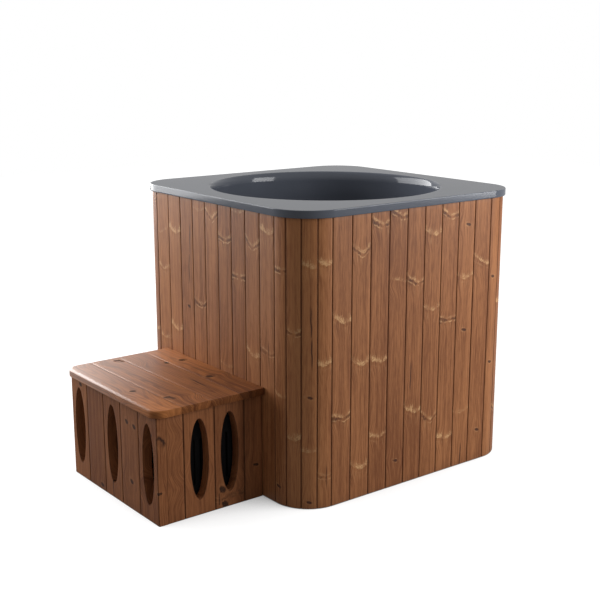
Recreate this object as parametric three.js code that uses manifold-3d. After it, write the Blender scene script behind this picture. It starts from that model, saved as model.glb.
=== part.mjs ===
// Cold plunge tub. A moulded round basin with a square rim stands on a timber frame that is clad in
// upright boards. A free-standing wooden step covers the drain valve and the water chiller.
// Millimetres, +Z up. The origin is on the floor under the middle of the basin.
// The front faces -Y and the step stands at the left, on -X.
import * as THREE from 'three';
import { mergeVertices } from 'three/addons/utils/BufferGeometryUtils.js';
import Module from 'manifold-3d';

const wasm = await Module();
wasm.setup();

// Fits
const CLEARANCE = 0.3;
const HOLE_CLEARANCE = 3;
const OVERCUT = 1;

// Tub, over the boards
const TUB_WIDTH = 1000;
const TUB_HEIGHT = 1006;
const CORNER_RADIUS = 135;

// Cladding boards
const BOARD_THICKNESS = 20;
const BOARDS_PER_SIDE = 9;
const STAVES_PER_CORNER = 4;
const SEAM_SHIFT = -7;
const SEAM_WIDTH = 4;
const SEAM_DEPTH = 4;
const BOARD_FLOOR_GAP = 2;
const BOARD_TOP_GAP = 4;
const STAVE_STEPS = 3;

// Rim and basin
const SHELL_WALL = 6;
const RIM_OVERHANG = 8.3;
const RIM_LIP_HEIGHT = 25.7;
const RIM_EDGE_RADIUS = 6;
const DECK_WIDTH = 93;
const BASIN_LIP_RADIUS = 15;
const BASIN_DRAFT = THREE.MathUtils.degToRad(3.5);
const BASIN_FLOOR_FILLET = 60;
const BASIN_SIDES = 48;
const FILLET_STEPS = 4;
const RIM_CORNER_STEPS = 5;
const ROUND_SIDES = 16;

// Frame
const BEARER_HEIGHT = 42;
const BEARER_WIDTH = 70;
const BEARER_SIDE_INSET = 115;
const BEARER_END_INSET = 20;
const BASE_THICKNESS = 18;
const HOOP_THICKNESS = 18;
const MID_HOOP_HEIGHT = 520;
const POST_SIZE = 45;
const FRAME_CORNER_STEPS = 3;

// Insulation
const FOAM_THICKNESS = 17;
const SLAB_THICKNESS = 70;

// Drain
const DRAIN_X = -120;
const DRAIN_Y = 130;
const DRAIN_FLANGE_RADIUS = 40;
const DRAIN_FLANGE_THICKNESS = 4;
const DRAIN_TAIL_RADIUS = 20;
const DRAIN_SEAL_THICKNESS = 2;
const DRAIN_NUT_RADIUS = 34;
const DRAIN_NUT_THICKNESS = 10;
const DRAIN_SPIGOT_LENGTH = 8;
const DRAIN_BAR_WIDTH = 4;
const PIPE_RADIUS = 20;
const PIPE_BORE = 16;
const PIPE_BED_GAP = 2;

// Drain valve
const VALVE_STANDOFF = 55;
const VALVE_LENGTH = 70;
const VALVE_RADIUS = 27;
const VALVE_BELLY_RADIUS = 31;
const VALVE_SOCKET_DEPTH = 10;
const VALVE_TAIL_RADIUS = 19;
const VALVE_TAIL_LENGTH = 36;
const VALVE_BOSS_RADIUS = 13;
const VALVE_BOSS_REACH = 38;
const BALL_RADIUS = 22;
const BALL_CLEARANCE = 1;
const STEM_RADIUS = 7;
const LEVER_LENGTH = 110;
const LEVER_WIDTH = 20;
const LEVER_THICKNESS = 4;
const LEVER_HEEL = 14;

// Circulation fittings and hoses
const FITTING_HEIGHT = 230;
const FITTING_SPACING = 120;
const FITTING_FLANGE_RADIUS = 32;
const FITTING_FLANGE_PROJECTION = 8;
const FITTING_TAIL_RADIUS = 16;
const FITTING_BORE = 12;
const FITTING_COVER = 3;
const FITTING_SLOTS = 3;
const FITTING_SLOT_WIDTH = 3;
const FITTING_SLOT_PITCH = 6;
const FITTING_OVERLAP = 30;
const HOSE_WALL = 3;
const HOSE_FOAM_GAP = 3;

// Chiller
const CHILLER_STANDOFF = 40;
const CHILLER_FRONT_GAP = 36;
const CHILLER_WIDTH = 300;
const CHILLER_TOP_GAP = 9;
const CHILLER_SIDE_GAP = 18;
const CHILLER_SHEET = 2;
const CHILLER_FOOT_HEIGHT = 10;
const CHILLER_FOOT_RADIUS = 14;
const CHILLER_FOOT_INSET = 24;
const TRAY_THICKNESS = 4;
const VENT_COUNT = 9;
const VENT_PITCH = 26;
const VENT_WIDTH = 9;
const VENT_BOTTOM = 84;
const VENT_HEIGHT = 160;
const FAN_HEIGHT = 165;
const FAN_RADIUS = 92;
const FAN_HUB_RADIUS = 28;
const FAN_HUB_LENGTH = 24;
const FAN_BLADES = 5;
const FAN_BLADE_CHORD = 46;
const FAN_BLADE_THICKNESS = 3;
const FAN_BLADE_PITCH = THREE.MathUtils.degToRad(30);
const FAN_FRONT_GAP = 24;
const GRILLE_RADIUS = 98;
const GRILLE_PITCH = 14;
const GRILLE_SLOT = 9;
const SHAFT_RADIUS = 5;
const MOTOR_RADIUS = 34;
const MOTOR_LENGTH = 62;
const MOTOR_STAND_WIDTH = 44;
const MOTOR_STAND_THICKNESS = 8;
const CONDENSER_DEPTH = 34;
const CONDENSER_CORE = 10;
const CONDENSER_FINS = 11;
const CONDENSER_FIN_WIDTH = 7;
const CONDENSER_TOP_GAP = 40;
const CONDENSER_SIDE_GAP = 8;
const CONDENSER_END_GAP = 26;
const COMPRESSOR_RADIUS = 56;
const COMPRESSOR_HEIGHT = 160;
const COMPRESSOR_DOME = 30;
const COMPRESSOR_BACK_GAP = 8;
const EXCHANGER_RADIUS = 40;
const EXCHANGER_LENGTH = 200;
const EXCHANGER_BACK_GAP = 12;
const INLET_WIDTH = 28;
const INLET_HEIGHT = 48;
const INLET_DEPTH = 22;
const INLET_FLANGE = 4;
const INLET_HEIGHT_OVER_FLOOR = 70;
const INLET_SIDE_INSET = 45;

// Step
const STEP_GAP = 0.5;
const STEP_OFFSET = 10;
const STEP_WIDTH = 592;
const STEP_DEPTH = 409.5;
const STEP_HEIGHT = 393;
const STEP_WALL = 34;
const STEP_TOP_THICKNESS = 24;
const STEP_FRONT_OVERHANG = 14;
const STEP_SIDE_OVERHANG = 16;
const STEP_TOP_CORNER_RADIUS = 42;
const STEP_TOP_EDGE = 2.5;
const STEP_TOP_BOARD = 112;
const STEP_FRONT_BOARDS = 5;
const STEP_FIRST_SIDE_BOARD = 64;
const STEP_SIDE_BOARD = 118.4;
const STEP_BOARD_EDGE = 2.5;
const STEP_CLEAT = 34;
const OVAL_WIDTH = 68;
const OVAL_HEIGHT = 277;
const OVAL_CENTRE_HEIGHT = 194.5;
const OVAL_SIDES = 32;

// Levels and radii that follow from the sizes above
const half = TUB_WIDTH / 2;
const baseBottom = BEARER_HEIGHT + CLEARANCE;
const baseTop = baseBottom + BASE_THICKNESS;
const slabBottom = baseTop + CLEARANCE;
const slabTop = slabBottom + SLAB_THICKNESS;
const basinUnder = slabTop + CLEARANCE;
const basinFloor = basinUnder + SHELL_WALL;
const deckUnder = TUB_HEIGHT - SHELL_WALL;
const lipBottom = TUB_HEIGHT - RIM_LIP_HEIGHT;
const topHoopTop = deckUnder - CLEARANCE;
const topHoopBottom = topHoopTop - HOOP_THICKNESS;
const basinRadius = half + RIM_OVERHANG - DECK_WIDTH;
const basinSpring = TUB_HEIGHT - BASIN_LIP_RADIUS;
const foamRadius = basinRadius + SHELL_WALL + FOAM_THICKNESS;
const pipeHeight = slabBottom + PIPE_BED_GAP + PIPE_RADIUS;
const hoseRadius = FITTING_TAIL_RADIUS + CLEARANCE + HOSE_WALL;
const stepInnerRight = STEP_OFFSET - STEP_WIDTH / 2 + STEP_WALL;
const chillerMiddle = stepInnerRight + CHILLER_SIDE_GAP + CHILLER_WIDTH / 2;
const chillerBack = -half - CHILLER_STANDOFF;
const chillerLength = STEP_GAP + STEP_DEPTH - STEP_WALL - CHILLER_FRONT_GAP - CHILLER_STANDOFF;
const wallTop = STEP_HEIGHT - STEP_TOP_THICKNESS - CLEARANCE;
const cleatBottom = wallTop - STEP_CLEAT;
const chillerHeight = cleatBottom - CHILLER_TOP_GAP;
const fittingPlaces = [-FITTING_SPACING / 2, FITTING_SPACING / 2].map((y) => chillerMiddle + y);

// Surface finishes
const FINISH = {
  shell: { color: 0x3c4046, roughness: 0.32, metalness: 0 },
  cladding: { color: 0x93603f, roughness: 0.6, metalness: 0 },
  stepWood: { color: 0x8a5a3c, roughness: 0.6, metalness: 0 },
  frameWood: { color: 0xb98f62, roughness: 0.75, metalness: 0 },
  plywood: { color: 0xc29b6c, roughness: 0.7, metalness: 0 },
  foam: { color: 0xe2d9b4, roughness: 0.9, metalness: 0 },
  plastic: { color: 0x54585c, roughness: 0.45, metalness: 0 },
  rubber: { color: 0x1c1c1d, roughness: 0.85, metalness: 0 },
  brass: { color: 0xb08d4a, roughness: 0.35, metalness: 1 },
  steel: { color: 0xb4b7ba, roughness: 0.3, metalness: 1 },
  red: { color: 0xa02a22, roughness: 0.5, metalness: 0 },
  black: { color: 0x141415, roughness: 0.5, metalness: 0.2 },
  aluminium: { color: 0xa9abad, roughness: 0.45, metalness: 1 },
};

// A closed geometry as a solid that can be joined and cut.
function toSolid(geometry) {
  const bare = geometry.clone();
  bare.deleteAttribute('normal');
  bare.deleteAttribute('uv');
  const merged = mergeVertices(bare, 1e-3);
  const index = merged.index.array;
  const corners = [];
  for (let i = 0; i < index.length; i += 3) {
    const [a, b, c] = index.slice(i, i + 3);
    if (a !== b && b !== c && c !== a) corners.push(a, b, c);
  }
  return new wasm.Manifold(new wasm.Mesh({
    numProp: 3,
    vertProperties: merged.attributes.position.array,
    triVerts: new Uint32Array(corners),
  }));
}

// A solid as a flat-shaded geometry.
function toGeometry(solid) {
  const mesh = solid.getMesh();
  const geometry = new THREE.BufferGeometry();
  geometry.setAttribute('position', new THREE.BufferAttribute(new Float32Array(mesh.vertProperties), 3));
  geometry.setIndex(new THREE.BufferAttribute(new Uint32Array(mesh.triVerts), 1));
  return geometry;
}

function join(first, ...others) {
  return toGeometry(others.reduce((solid, other) => solid.add(toSolid(other)), toSolid(first)));
}

function cut(body, ...tools) {
  return toGeometry(tools.reduce((solid, tool) => solid.subtract(toSolid(tool)), toSolid(body)));
}

function common(first, second) {
  return toGeometry(toSolid(first).intersect(toSolid(second)));
}

// A block between two corners.
function block(x0, x1, y0, y1, z0, z1) {
  const box = new THREE.BoxGeometry(x1 - x0, y1 - y0, z1 - z0);
  return box.translate((x0 + x1) / 2, (y0 + y1) / 2, (z0 + z1) / 2);
}

// A round bar along an axis through the origin, between two places on that axis.
function rod(axis, radius, from, to, sides = ROUND_SIDES) {
  const bar = new THREE.CylinderGeometry(radius, radius, to - from, sides);
  bar.translate(0, (from + to) / 2, 0);
  if (axis === 'x') return bar.rotateZ(-Math.PI / 2);
  if (axis === 'z') return bar.rotateX(Math.PI / 2);
  return bar;
}

function ballOf(radius) {
  return new THREE.SphereGeometry(radius, ROUND_SIDES, ROUND_SIDES / 2);
}

// A solid turned about Z, from radius and height pairs that start at the bottom and go outward.
function turned(profile, sides) {
  const points = profile.map(([radius, height]) => new THREE.Vector2(radius, height));
  return new THREE.LatheGeometry(points, sides).rotateX(Math.PI / 2);
}

// An outline carried straight up between two heights.
function raised(shape, z0, z1, curveSegments = 8) {
  const settings = { depth: z1 - z0, bevelEnabled: false, curveSegments };
  return new THREE.ExtrudeGeometry(shape, settings).translate(0, 0, z0);
}

// An outline carried up between two heights, with its upper and lower edges rounded.
function softened(shape, z0, z1, edge, curveSegments = 8) {
  const settings = {
    depth: z1 - z0 - 2 * edge,
    bevelThickness: edge,
    bevelSize: edge,
    bevelOffset: -edge,
    bevelSegments: 2,
    curveSegments,
  };
  return new THREE.ExtrudeGeometry(shape, settings).translate(0, 0, z0 + edge);
}

function roundedSquare(reach, radius) {
  const shape = new THREE.Shape();
  const centre = reach - radius;
  shape.absarc(centre, -centre, radius, -Math.PI / 2, 0);
  shape.absarc(centre, centre, radius, 0, Math.PI / 2);
  shape.absarc(-centre, centre, radius, Math.PI / 2, Math.PI);
  shape.absarc(-centre, -centre, radius, Math.PI, Math.PI * 1.5);
  return shape;
}

function add(parent, name, geometry, finish, x = 0, y = 0, z = 0) {
  const mesh = new THREE.Mesh(geometry, new THREE.MeshStandardMaterial(FINISH[finish]));
  mesh.name = name;
  mesh.position.set(x, y, z);
  parent.add(mesh);
  return mesh;
}

function addGroup(parent, name, x = 0, y = 0, z = 0) {
  const group = new THREE.Group();
  group.name = name;
  group.position.set(x, y, z);
  parent.add(group);
  return group;
}

// Points on a quarter arc, between two angles, as radius and height pairs.
function arc(centreRadius, centreHeight, radius, from, to, steps) {
  return Array.from({ length: steps + 1 }, (_, i) => {
    const angle = from + ((to - from) * i) / steps;
    return [centreRadius + radius * Math.cos(angle), centreHeight + radius * Math.sin(angle)];
  });
}

// Radius of the basin's inner face at a height on its straight wall.
function basinRadiusAt(height) {
  return basinRadius - (basinSpring - height) * Math.tan(BASIN_DRAFT);
}

// The basin as a full body, grown outward by an offset, closed at a height above its lip.
function basinBody(offset, top) {
  const fillet = BASIN_FLOOR_FILLET + offset;
  const centreHeight = basinFloor + BASIN_FLOOR_FILLET;
  const centreRadius = basinRadiusAt(centreHeight) - BASIN_FLOOR_FILLET;
  const lipCentre = basinRadius + BASIN_LIP_RADIUS;
  const lip = BASIN_LIP_RADIUS - offset;
  return turned([
    [0, basinFloor - offset],
    ...arc(centreRadius, centreHeight, fillet, -Math.PI / 2, 0, FILLET_STEPS),
    ...arc(lipCentre, basinSpring, lip, Math.PI, Math.PI / 2, FILLET_STEPS),
    [lipCentre, top],
    [0, top],
  ], BASIN_SIDES);
}

// A point at a distance round the outside of the boards, counter-clockwise from the left end of the
// front's straight run, pushed inward by a depth.
function perimeterPoint(distance, depth) {
  const straight = TUB_WIDTH - 2 * CORNER_RADIUS;
  const quarter = straight + (Math.PI / 2) * CORNER_RADIUS;
  const side = Math.floor(distance / quarter);
  const along = distance - side * quarter;
  const angle = Math.max(0, along - straight) / CORNER_RADIUS;
  const reach = CORNER_RADIUS - depth;
  const x = Math.min(along, straight) - straight / 2 + reach * Math.sin(angle);
  const y = -straight / 2 - reach * Math.cos(angle);
  return new THREE.Vector2(x, y).rotateAround(new THREE.Vector2(), (side * Math.PI) / 2);
}

// A run of boards side by side, joined behind open V seams, from a place on the perimeter.
function boardRun(start, boardWidth, count, steps) {
  const face = [];
  const back = [];
  for (let board = 0; board < count; board += 1) {
    const left = start + board * boardWidth;
    const right = left + boardWidth;
    const first = board === 0 ? left + CLEARANCE / 2 : left;
    face.push(perimeterPoint(first, SEAM_DEPTH));
    for (let i = 0; i <= steps; i += 1) {
      const place = left + SEAM_WIDTH / 2 + ((boardWidth - SEAM_WIDTH) * i) / steps;
      face.push(perimeterPoint(place, 0));
      back.push(perimeterPoint(place, BOARD_THICKNESS));
    }
    if (board === 0) back.unshift(perimeterPoint(first, BOARD_THICKNESS));
    if (board === count - 1) {
      face.push(perimeterPoint(right - CLEARANCE / 2, SEAM_DEPTH));
      back.push(perimeterPoint(right - CLEARANCE / 2, BOARD_THICKNESS));
    }
  }
  const outline = new THREE.Shape([...face, ...back.reverse()]);
  return raised(outline, BOARD_FLOOR_GAP, deckUnder - BOARD_TOP_GAP);
}

const object = new THREE.Group();
object.name = 'cold_plunge_tub';
const tub = addGroup(object, 'tub');

// Holes that the circulation fittings and their hoses pass through.
function fittingHoles(radius) {
  return fittingPlaces.map((y) => rod('x', radius, -half - OVERCUT, 0).translate(0, y, FITTING_HEIGHT));
}

// The shell is the rim block and the basin's outside, less the water space and the space under the rim.
function shell() {
  const rimReach = half + RIM_OVERHANG;
  const rimRadius = CORNER_RADIUS + RIM_OVERHANG;
  const blockBottom = lipBottom - RIM_EDGE_RADIUS;
  const rimOutline = roundedSquare(rimReach, rimRadius);
  const rim = softened(rimOutline, blockBottom, TUB_HEIGHT, RIM_EDGE_RADIUS, RIM_CORNER_STEPS);
  const pocketOutline = roundedSquare(rimReach - SHELL_WALL, rimRadius - SHELL_WALL);
  const pocket = raised(pocketOutline, blockBottom - OVERCUT, deckUnder, RIM_CORNER_STEPS);
  const wide = rimReach + OVERCUT;
  const below = block(-wide, wide, -wide, wide, blockBottom - OVERCUT, lipBottom);
  const outside = basinBody(SHELL_WALL, deckUnder);
  const underside = cut(join(pocket, below), outside);
  const water = basinBody(0, TUB_HEIGHT + OVERCUT);
  const drainHole = rod('z', DRAIN_TAIL_RADIUS + CLEARANCE, basinUnder - OVERCUT, basinFloor + OVERCUT);
  drainHole.translate(DRAIN_X, DRAIN_Y, 0);
  const holes = fittingHoles(FITTING_TAIL_RADIUS + CLEARANCE);
  return cut(join(rim, outside), water, underside, drainHole, ...holes);
}
add(tub, 'tub_shell', shell(), 'shell');

// Timber frame: bearers on the floor, a base board, corner posts and two hoops round the basin.
const frame = addGroup(tub, 'frame');
const frameReach = half - BOARD_THICKNESS - CLEARANCE;
const frameRadius = CORNER_RADIUS - BOARD_THICKNESS - CLEARANCE;
const postOuter = half - CORNER_RADIUS + (frameRadius - CLEARANCE) * Math.SQRT1_2;
const postMiddle = postOuter - POST_SIZE / 2;
const cornerPlaces = [
  ['front_left', -1, -1],
  ['front_right', 1, -1],
  ['back_right', 1, 1],
  ['back_left', -1, 1],
];

const bearerReach = frameReach - BEARER_END_INSET;
const bearerPlace = frameReach - BEARER_SIDE_INSET - BEARER_WIDTH / 2;
const bearer = block(-BEARER_WIDTH / 2, BEARER_WIDTH / 2, -bearerReach, bearerReach, 0, BEARER_HEIGHT);
add(frame, 'bearer_left', bearer, 'frameWood', -bearerPlace);
add(frame, 'bearer_middle', bearer.clone(), 'frameWood');
add(frame, 'bearer_right', bearer.clone(), 'frameWood', bearerPlace);

const baseOutline = roundedSquare(frameReach, frameRadius);
add(frame, 'base_board', raised(baseOutline, baseBottom, baseTop, FRAME_CORNER_STEPS), 'plywood');

for (const [place, sideX, sideY] of cornerPlaces) {
  const reach = POST_SIZE / 2;
  const post = block(-reach, reach, -reach, reach, baseTop + CLEARANCE, topHoopBottom - CLEARANCE);
  add(frame, `post_${place}`, post, 'frameWood', sideX * postMiddle, sideY * postMiddle);
}

function hoop(bottom) {
  const top = bottom + HOOP_THICKNESS;
  const plate = raised(baseOutline, bottom, top, FRAME_CORNER_STEPS);
  return cut(plate, rod('z', foamRadius + CLEARANCE, bottom - OVERCUT, top + OVERCUT, BASIN_SIDES));
}
const notches = cornerPlaces.map(([, sideX, sideY]) => {
  const reach = POST_SIZE / 2 + CLEARANCE;
  const bottom = MID_HOOP_HEIGHT - OVERCUT;
  const notch = block(-reach, reach, -reach, reach, bottom, bottom + HOOP_THICKNESS + 2 * OVERCUT);
  return notch.translate(sideX * postMiddle, sideY * postMiddle, 0);
});
add(frame, 'mid_hoop', cut(hoop(MID_HOOP_HEIGHT), ...notches), 'plywood');
add(frame, 'top_hoop', hoop(topHoopBottom), 'plywood');

// Insulation: a foam jacket round the basin wall and a slab under the basin floor.
const insulation = addGroup(tub, 'insulation');
const jacketBlank = rod('z', foamRadius, slabTop + CLEARANCE, deckUnder - BASIN_LIP_RADIUS, BASIN_SIDES);
const jacketCore = basinBody(SHELL_WALL + CLEARANCE, TUB_HEIGHT);
const jacketHoles = fittingHoles(FITTING_TAIL_RADIUS + CLEARANCE);
add(insulation, 'foam_jacket', cut(jacketBlank, jacketCore, ...jacketHoles), 'foam');

const slabBlank = rod('z', foamRadius, slabBottom, slabTop, BASIN_SIDES);
const drainPocket = rod('z', DRAIN_FLANGE_RADIUS + HOLE_CLEARANCE, slabBottom - OVERCUT, slabTop + OVERCUT);
drainPocket.translate(DRAIN_X, DRAIN_Y, 0);
const channelReach = PIPE_RADIUS + CLEARANCE;
const channelTop = pipeHeight + channelReach;
const channel = block(
  -half, DRAIN_X, DRAIN_Y - channelReach, DRAIN_Y + channelReach, slabBottom - OVERCUT, channelTop,
);
add(insulation, 'floor_slab', cut(slabBlank, drainPocket, channel), 'foam');

// Cladding: a run of boards on each straight side and a run of staves round each corner.
const cladding = addGroup(tub, 'cladding');
const sideRun = TUB_WIDTH - 2 * CORNER_RADIUS;
const cornerRun = (Math.PI / 2) * CORNER_RADIUS;
const perimeterQuarter = sideRun + cornerRun;
const sideNames = ['front', 'right', 'back', 'left'];
const cornerNames = ['front_right', 'back_right', 'back_left', 'front_left'];
for (let side = 0; side < sideNames.length; side += 1) {
  const start = SEAM_SHIFT + side * perimeterQuarter;
  let boards = boardRun(start, sideRun / BOARDS_PER_SIDE, BOARDS_PER_SIDE, 1);
  if (sideNames[side] === 'left') {
    const pipeHole = rod('x', PIPE_RADIUS + HOLE_CLEARANCE, -half - OVERCUT, 0);
    pipeHole.translate(0, DRAIN_Y, pipeHeight);
    boards = cut(boards, pipeHole, ...fittingHoles(hoseRadius + HOLE_CLEARANCE));
  }
  add(cladding, `cladding_${sideNames[side]}`, boards, 'cladding');
  const staves = boardRun(start + sideRun, cornerRun / STAVES_PER_CORNER, STAVES_PER_CORNER, STAVE_STEPS);
  add(cladding, `corner_staves_${cornerNames[side]}`, staves, 'cladding');
}

// Drain in the basin floor, clamped by a nut underneath, with a pipe out to the left side.
const drain = addGroup(tub, 'drain', DRAIN_X, DRAIN_Y);
const sealTop = basinUnder - CLEARANCE;
const nutTop = sealTop - DRAIN_SEAL_THICKNESS - CLEARANCE;
const nutBottom = nutTop - DRAIN_NUT_THICKNESS;
const spigotBottom = nutBottom - DRAIN_SPIGOT_LENGTH;
const flangeBottom = basinFloor + CLEARANCE;
const flangeTop = flangeBottom + DRAIN_FLANGE_THICKNESS;
const spigotRadius = PIPE_BORE - CLEARANCE;
const drainBore = spigotRadius - 3;
const drainBody = turned([
  [0, spigotBottom],
  [spigotRadius, spigotBottom],
  [spigotRadius, nutBottom],
  [DRAIN_TAIL_RADIUS, nutBottom],
  [DRAIN_TAIL_RADIUS, flangeBottom],
  [DRAIN_FLANGE_RADIUS, flangeBottom],
  [DRAIN_FLANGE_RADIUS - DRAIN_FLANGE_THICKNESS / 2, flangeTop],
  [0, flangeTop],
], ROUND_SIDES);
const drainBored = cut(drainBody, rod('z', drainBore, spigotBottom - OVERCUT, flangeTop + OVERCUT));
const barReach = drainBore + 1;
const barBottom = flangeTop - DRAIN_FLANGE_THICKNESS;
const barX = block(-barReach, barReach, -DRAIN_BAR_WIDTH / 2, DRAIN_BAR_WIDTH / 2, barBottom, flangeTop - 1);
const barY = barX.clone().rotateZ(Math.PI / 2);
add(drain, 'drain_flange', join(drainBored, barX, barY), 'steel');

const sealBore = DRAIN_TAIL_RADIUS + CLEARANCE;
function ring(outer, bore, bottom, top, sides) {
  return cut(rod('z', outer, bottom, top, sides), rod('z', bore, bottom - OVERCUT, top + OVERCUT));
}
const sealRing = ring(DRAIN_FLANGE_RADIUS, sealBore, sealTop - DRAIN_SEAL_THICKNESS, sealTop, ROUND_SIDES);
add(drain, 'drain_seal', sealRing, 'rubber');
add(drain, 'drain_nut', ring(DRAIN_NUT_RADIUS, sealBore, nutBottom, nutTop, 6), 'plastic');

const elbowTop = nutBottom - CLEARANCE;
const valveX = -half - VALVE_STANDOFF - DRAIN_X;
const valveInlet = valveX + VALVE_LENGTH / 2;
const pipeEnd = valveInlet - VALVE_SOCKET_DEPTH + CLEARANCE;
function elbow(radius, top, end) {
  const bend = ballOf(radius).rotateX(Math.PI / 2).translate(0, 0, pipeHeight);
  const run = rod('x', radius, end, 0).translate(0, 0, pipeHeight);
  return join(rod('z', radius, pipeHeight, top), bend, run);
}
const pipeBore = elbow(PIPE_BORE, elbowTop + OVERCUT, pipeEnd - OVERCUT);
add(drain, 'drain_pipe', cut(elbow(PIPE_RADIUS, elbowTop, pipeEnd), pipeBore), 'plastic');

// Drain valve at the end of the pipe. The ball's bore stands upright while the valve is shut.
const valve = addGroup(drain, 'drain_valve', valveX, 0, pipeHeight);
const valveEnd = VALVE_LENGTH / 2;
const valveBody = join(
  rod('x', VALVE_RADIUS, -valveEnd, valveEnd),
  ballOf(VALVE_BELLY_RADIUS),
  rod('y', VALVE_BOSS_RADIUS, 0, VALVE_BOSS_REACH),
  rod('x', VALVE_TAIL_RADIUS, -valveEnd - VALVE_TAIL_LENGTH, 0),
);
const valveSpace = [
  rod('x', PIPE_BORE, -valveEnd - VALVE_TAIL_LENGTH - OVERCUT, valveEnd),
  rod('x', PIPE_RADIUS + CLEARANCE, valveEnd - VALVE_SOCKET_DEPTH, valveEnd + OVERCUT),
  ballOf(BALL_RADIUS + BALL_CLEARANCE),
  rod('y', STEM_RADIUS + CLEARANCE, 0, VALVE_BOSS_REACH + OVERCUT),
];
add(valve, 'drain_valve_body', cut(valveBody, ...valveSpace), 'brass');

const leverY = VALVE_BOSS_REACH + CLEARANCE;
const stemEnd = leverY + LEVER_THICKNESS + 2;
const stemFoot = (PIPE_BORE + BALL_RADIUS) / 2;
const ball = cut(
  ballOf(BALL_RADIUS),
  rod('z', PIPE_BORE, -BALL_RADIUS - OVERCUT, BALL_RADIUS + OVERCUT),
);
add(valve, 'drain_valve_ball', join(ball, rod('y', STEM_RADIUS, stemFoot, stemEnd)), 'steel');
const leverPlate = block(
  -LEVER_WIDTH / 2, LEVER_WIDTH / 2, leverY, leverY + LEVER_THICKNESS, -LEVER_HEEL, LEVER_LENGTH,
);
const leverHole = rod('y', STEM_RADIUS + CLEARANCE, leverY - OVERCUT, leverY + LEVER_THICKNESS + OVERCUT);
add(valve, 'drain_valve_lever', cut(leverPlate, leverHole), 'red');

// Circulation fittings in the basin wall, each with a slotted cover over its bore and a short hose
// to the chiller.
const circulation = addGroup(tub, 'circulation', 0, 0, FITTING_HEIGHT);
const hoseStart = -foamRadius - HOSE_FOAM_GAP;
const hoseEnd = chillerBack + CLEARANCE * 2;
const tailEnd = hoseStart - FITTING_OVERLAP;
function wallFitting(y) {
  const radius = basinRadiusAt(FITTING_HEIGHT);
  const wallX = -Math.sqrt(radius * radius - y * y);
  const inner = wallX + FITTING_FLANGE_PROJECTION;
  const water = basinBody(-CLEARANCE, TUB_HEIGHT).translate(0, -y, -FITTING_HEIGHT);
  const disc = rod('x', FITTING_FLANGE_RADIUS, wallX - FITTING_FLANGE_RADIUS, inner);
  const tail = rod('x', FITTING_TAIL_RADIUS, tailEnd, inner);
  const bore = rod('x', FITTING_BORE, tailEnd - OVERCUT, inner - FITTING_COVER);
  const slots = Array.from({ length: FITTING_SLOTS }, (_, i) => {
    const z = (i - (FITTING_SLOTS - 1) / 2) * FITTING_SLOT_PITCH;
    const reach = Math.sqrt(FITTING_BORE ** 2 - (Math.abs(z) + FITTING_SLOT_WIDTH) ** 2);
    const back = inner - FITTING_COVER - OVERCUT;
    const rise = FITTING_SLOT_WIDTH / 2;
    return block(back, inner + OVERCUT, -reach, reach, z - rise, z + rise);
  });
  return cut(join(common(disc, water), tail), bore, ...slots);
}
function hose() {
  const bore = rod('x', FITTING_TAIL_RADIUS + CLEARANCE, hoseEnd - OVERCUT, hoseStart + OVERCUT);
  return cut(rod('x', hoseRadius, hoseEnd, hoseStart), bore);
}
['suction', 'return'].forEach((use, i) => {
  add(circulation, `${use}_fitting`, wallFitting(fittingPlaces[i]), 'plastic', 0, fittingPlaces[i]);
  add(circulation, `${use}_hose`, hose(), 'rubber', 0, fittingPlaces[i]);
});

// Chiller on the floor inside the step. Its own space runs from its back at 0 to its front on -X.
const chiller = addGroup(tub, 'chiller', chillerBack, chillerMiddle);
const coverReach = CHILLER_WIDTH / 2;
const insideReach = coverReach - CHILLER_SHEET - CLEARANCE;
const insideFront = -chillerLength + CHILLER_SHEET + CLEARANCE;
const insideBack = -CHILLER_SHEET - CLEARANCE;
const trayTop = CHILLER_FOOT_HEIGHT + TRAY_THICKNESS;
const trayPlate = block(
  insideFront, insideBack, -insideReach, insideReach, CHILLER_FOOT_HEIGHT, trayTop,
);
const footX = [-CHILLER_FOOT_INSET, -chillerLength + CHILLER_FOOT_INSET];
const footY = [-coverReach + CHILLER_FOOT_INSET, coverReach - CHILLER_FOOT_INSET];
const feet = footX.flatMap((x) => footY.map((y) => {
  return rod('z', CHILLER_FOOT_RADIUS, 0, CHILLER_FOOT_HEIGHT + 1).translate(x, y, 0);
}));
add(chiller, 'chiller_tray', join(trayPlate, ...feet), 'black');

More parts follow.
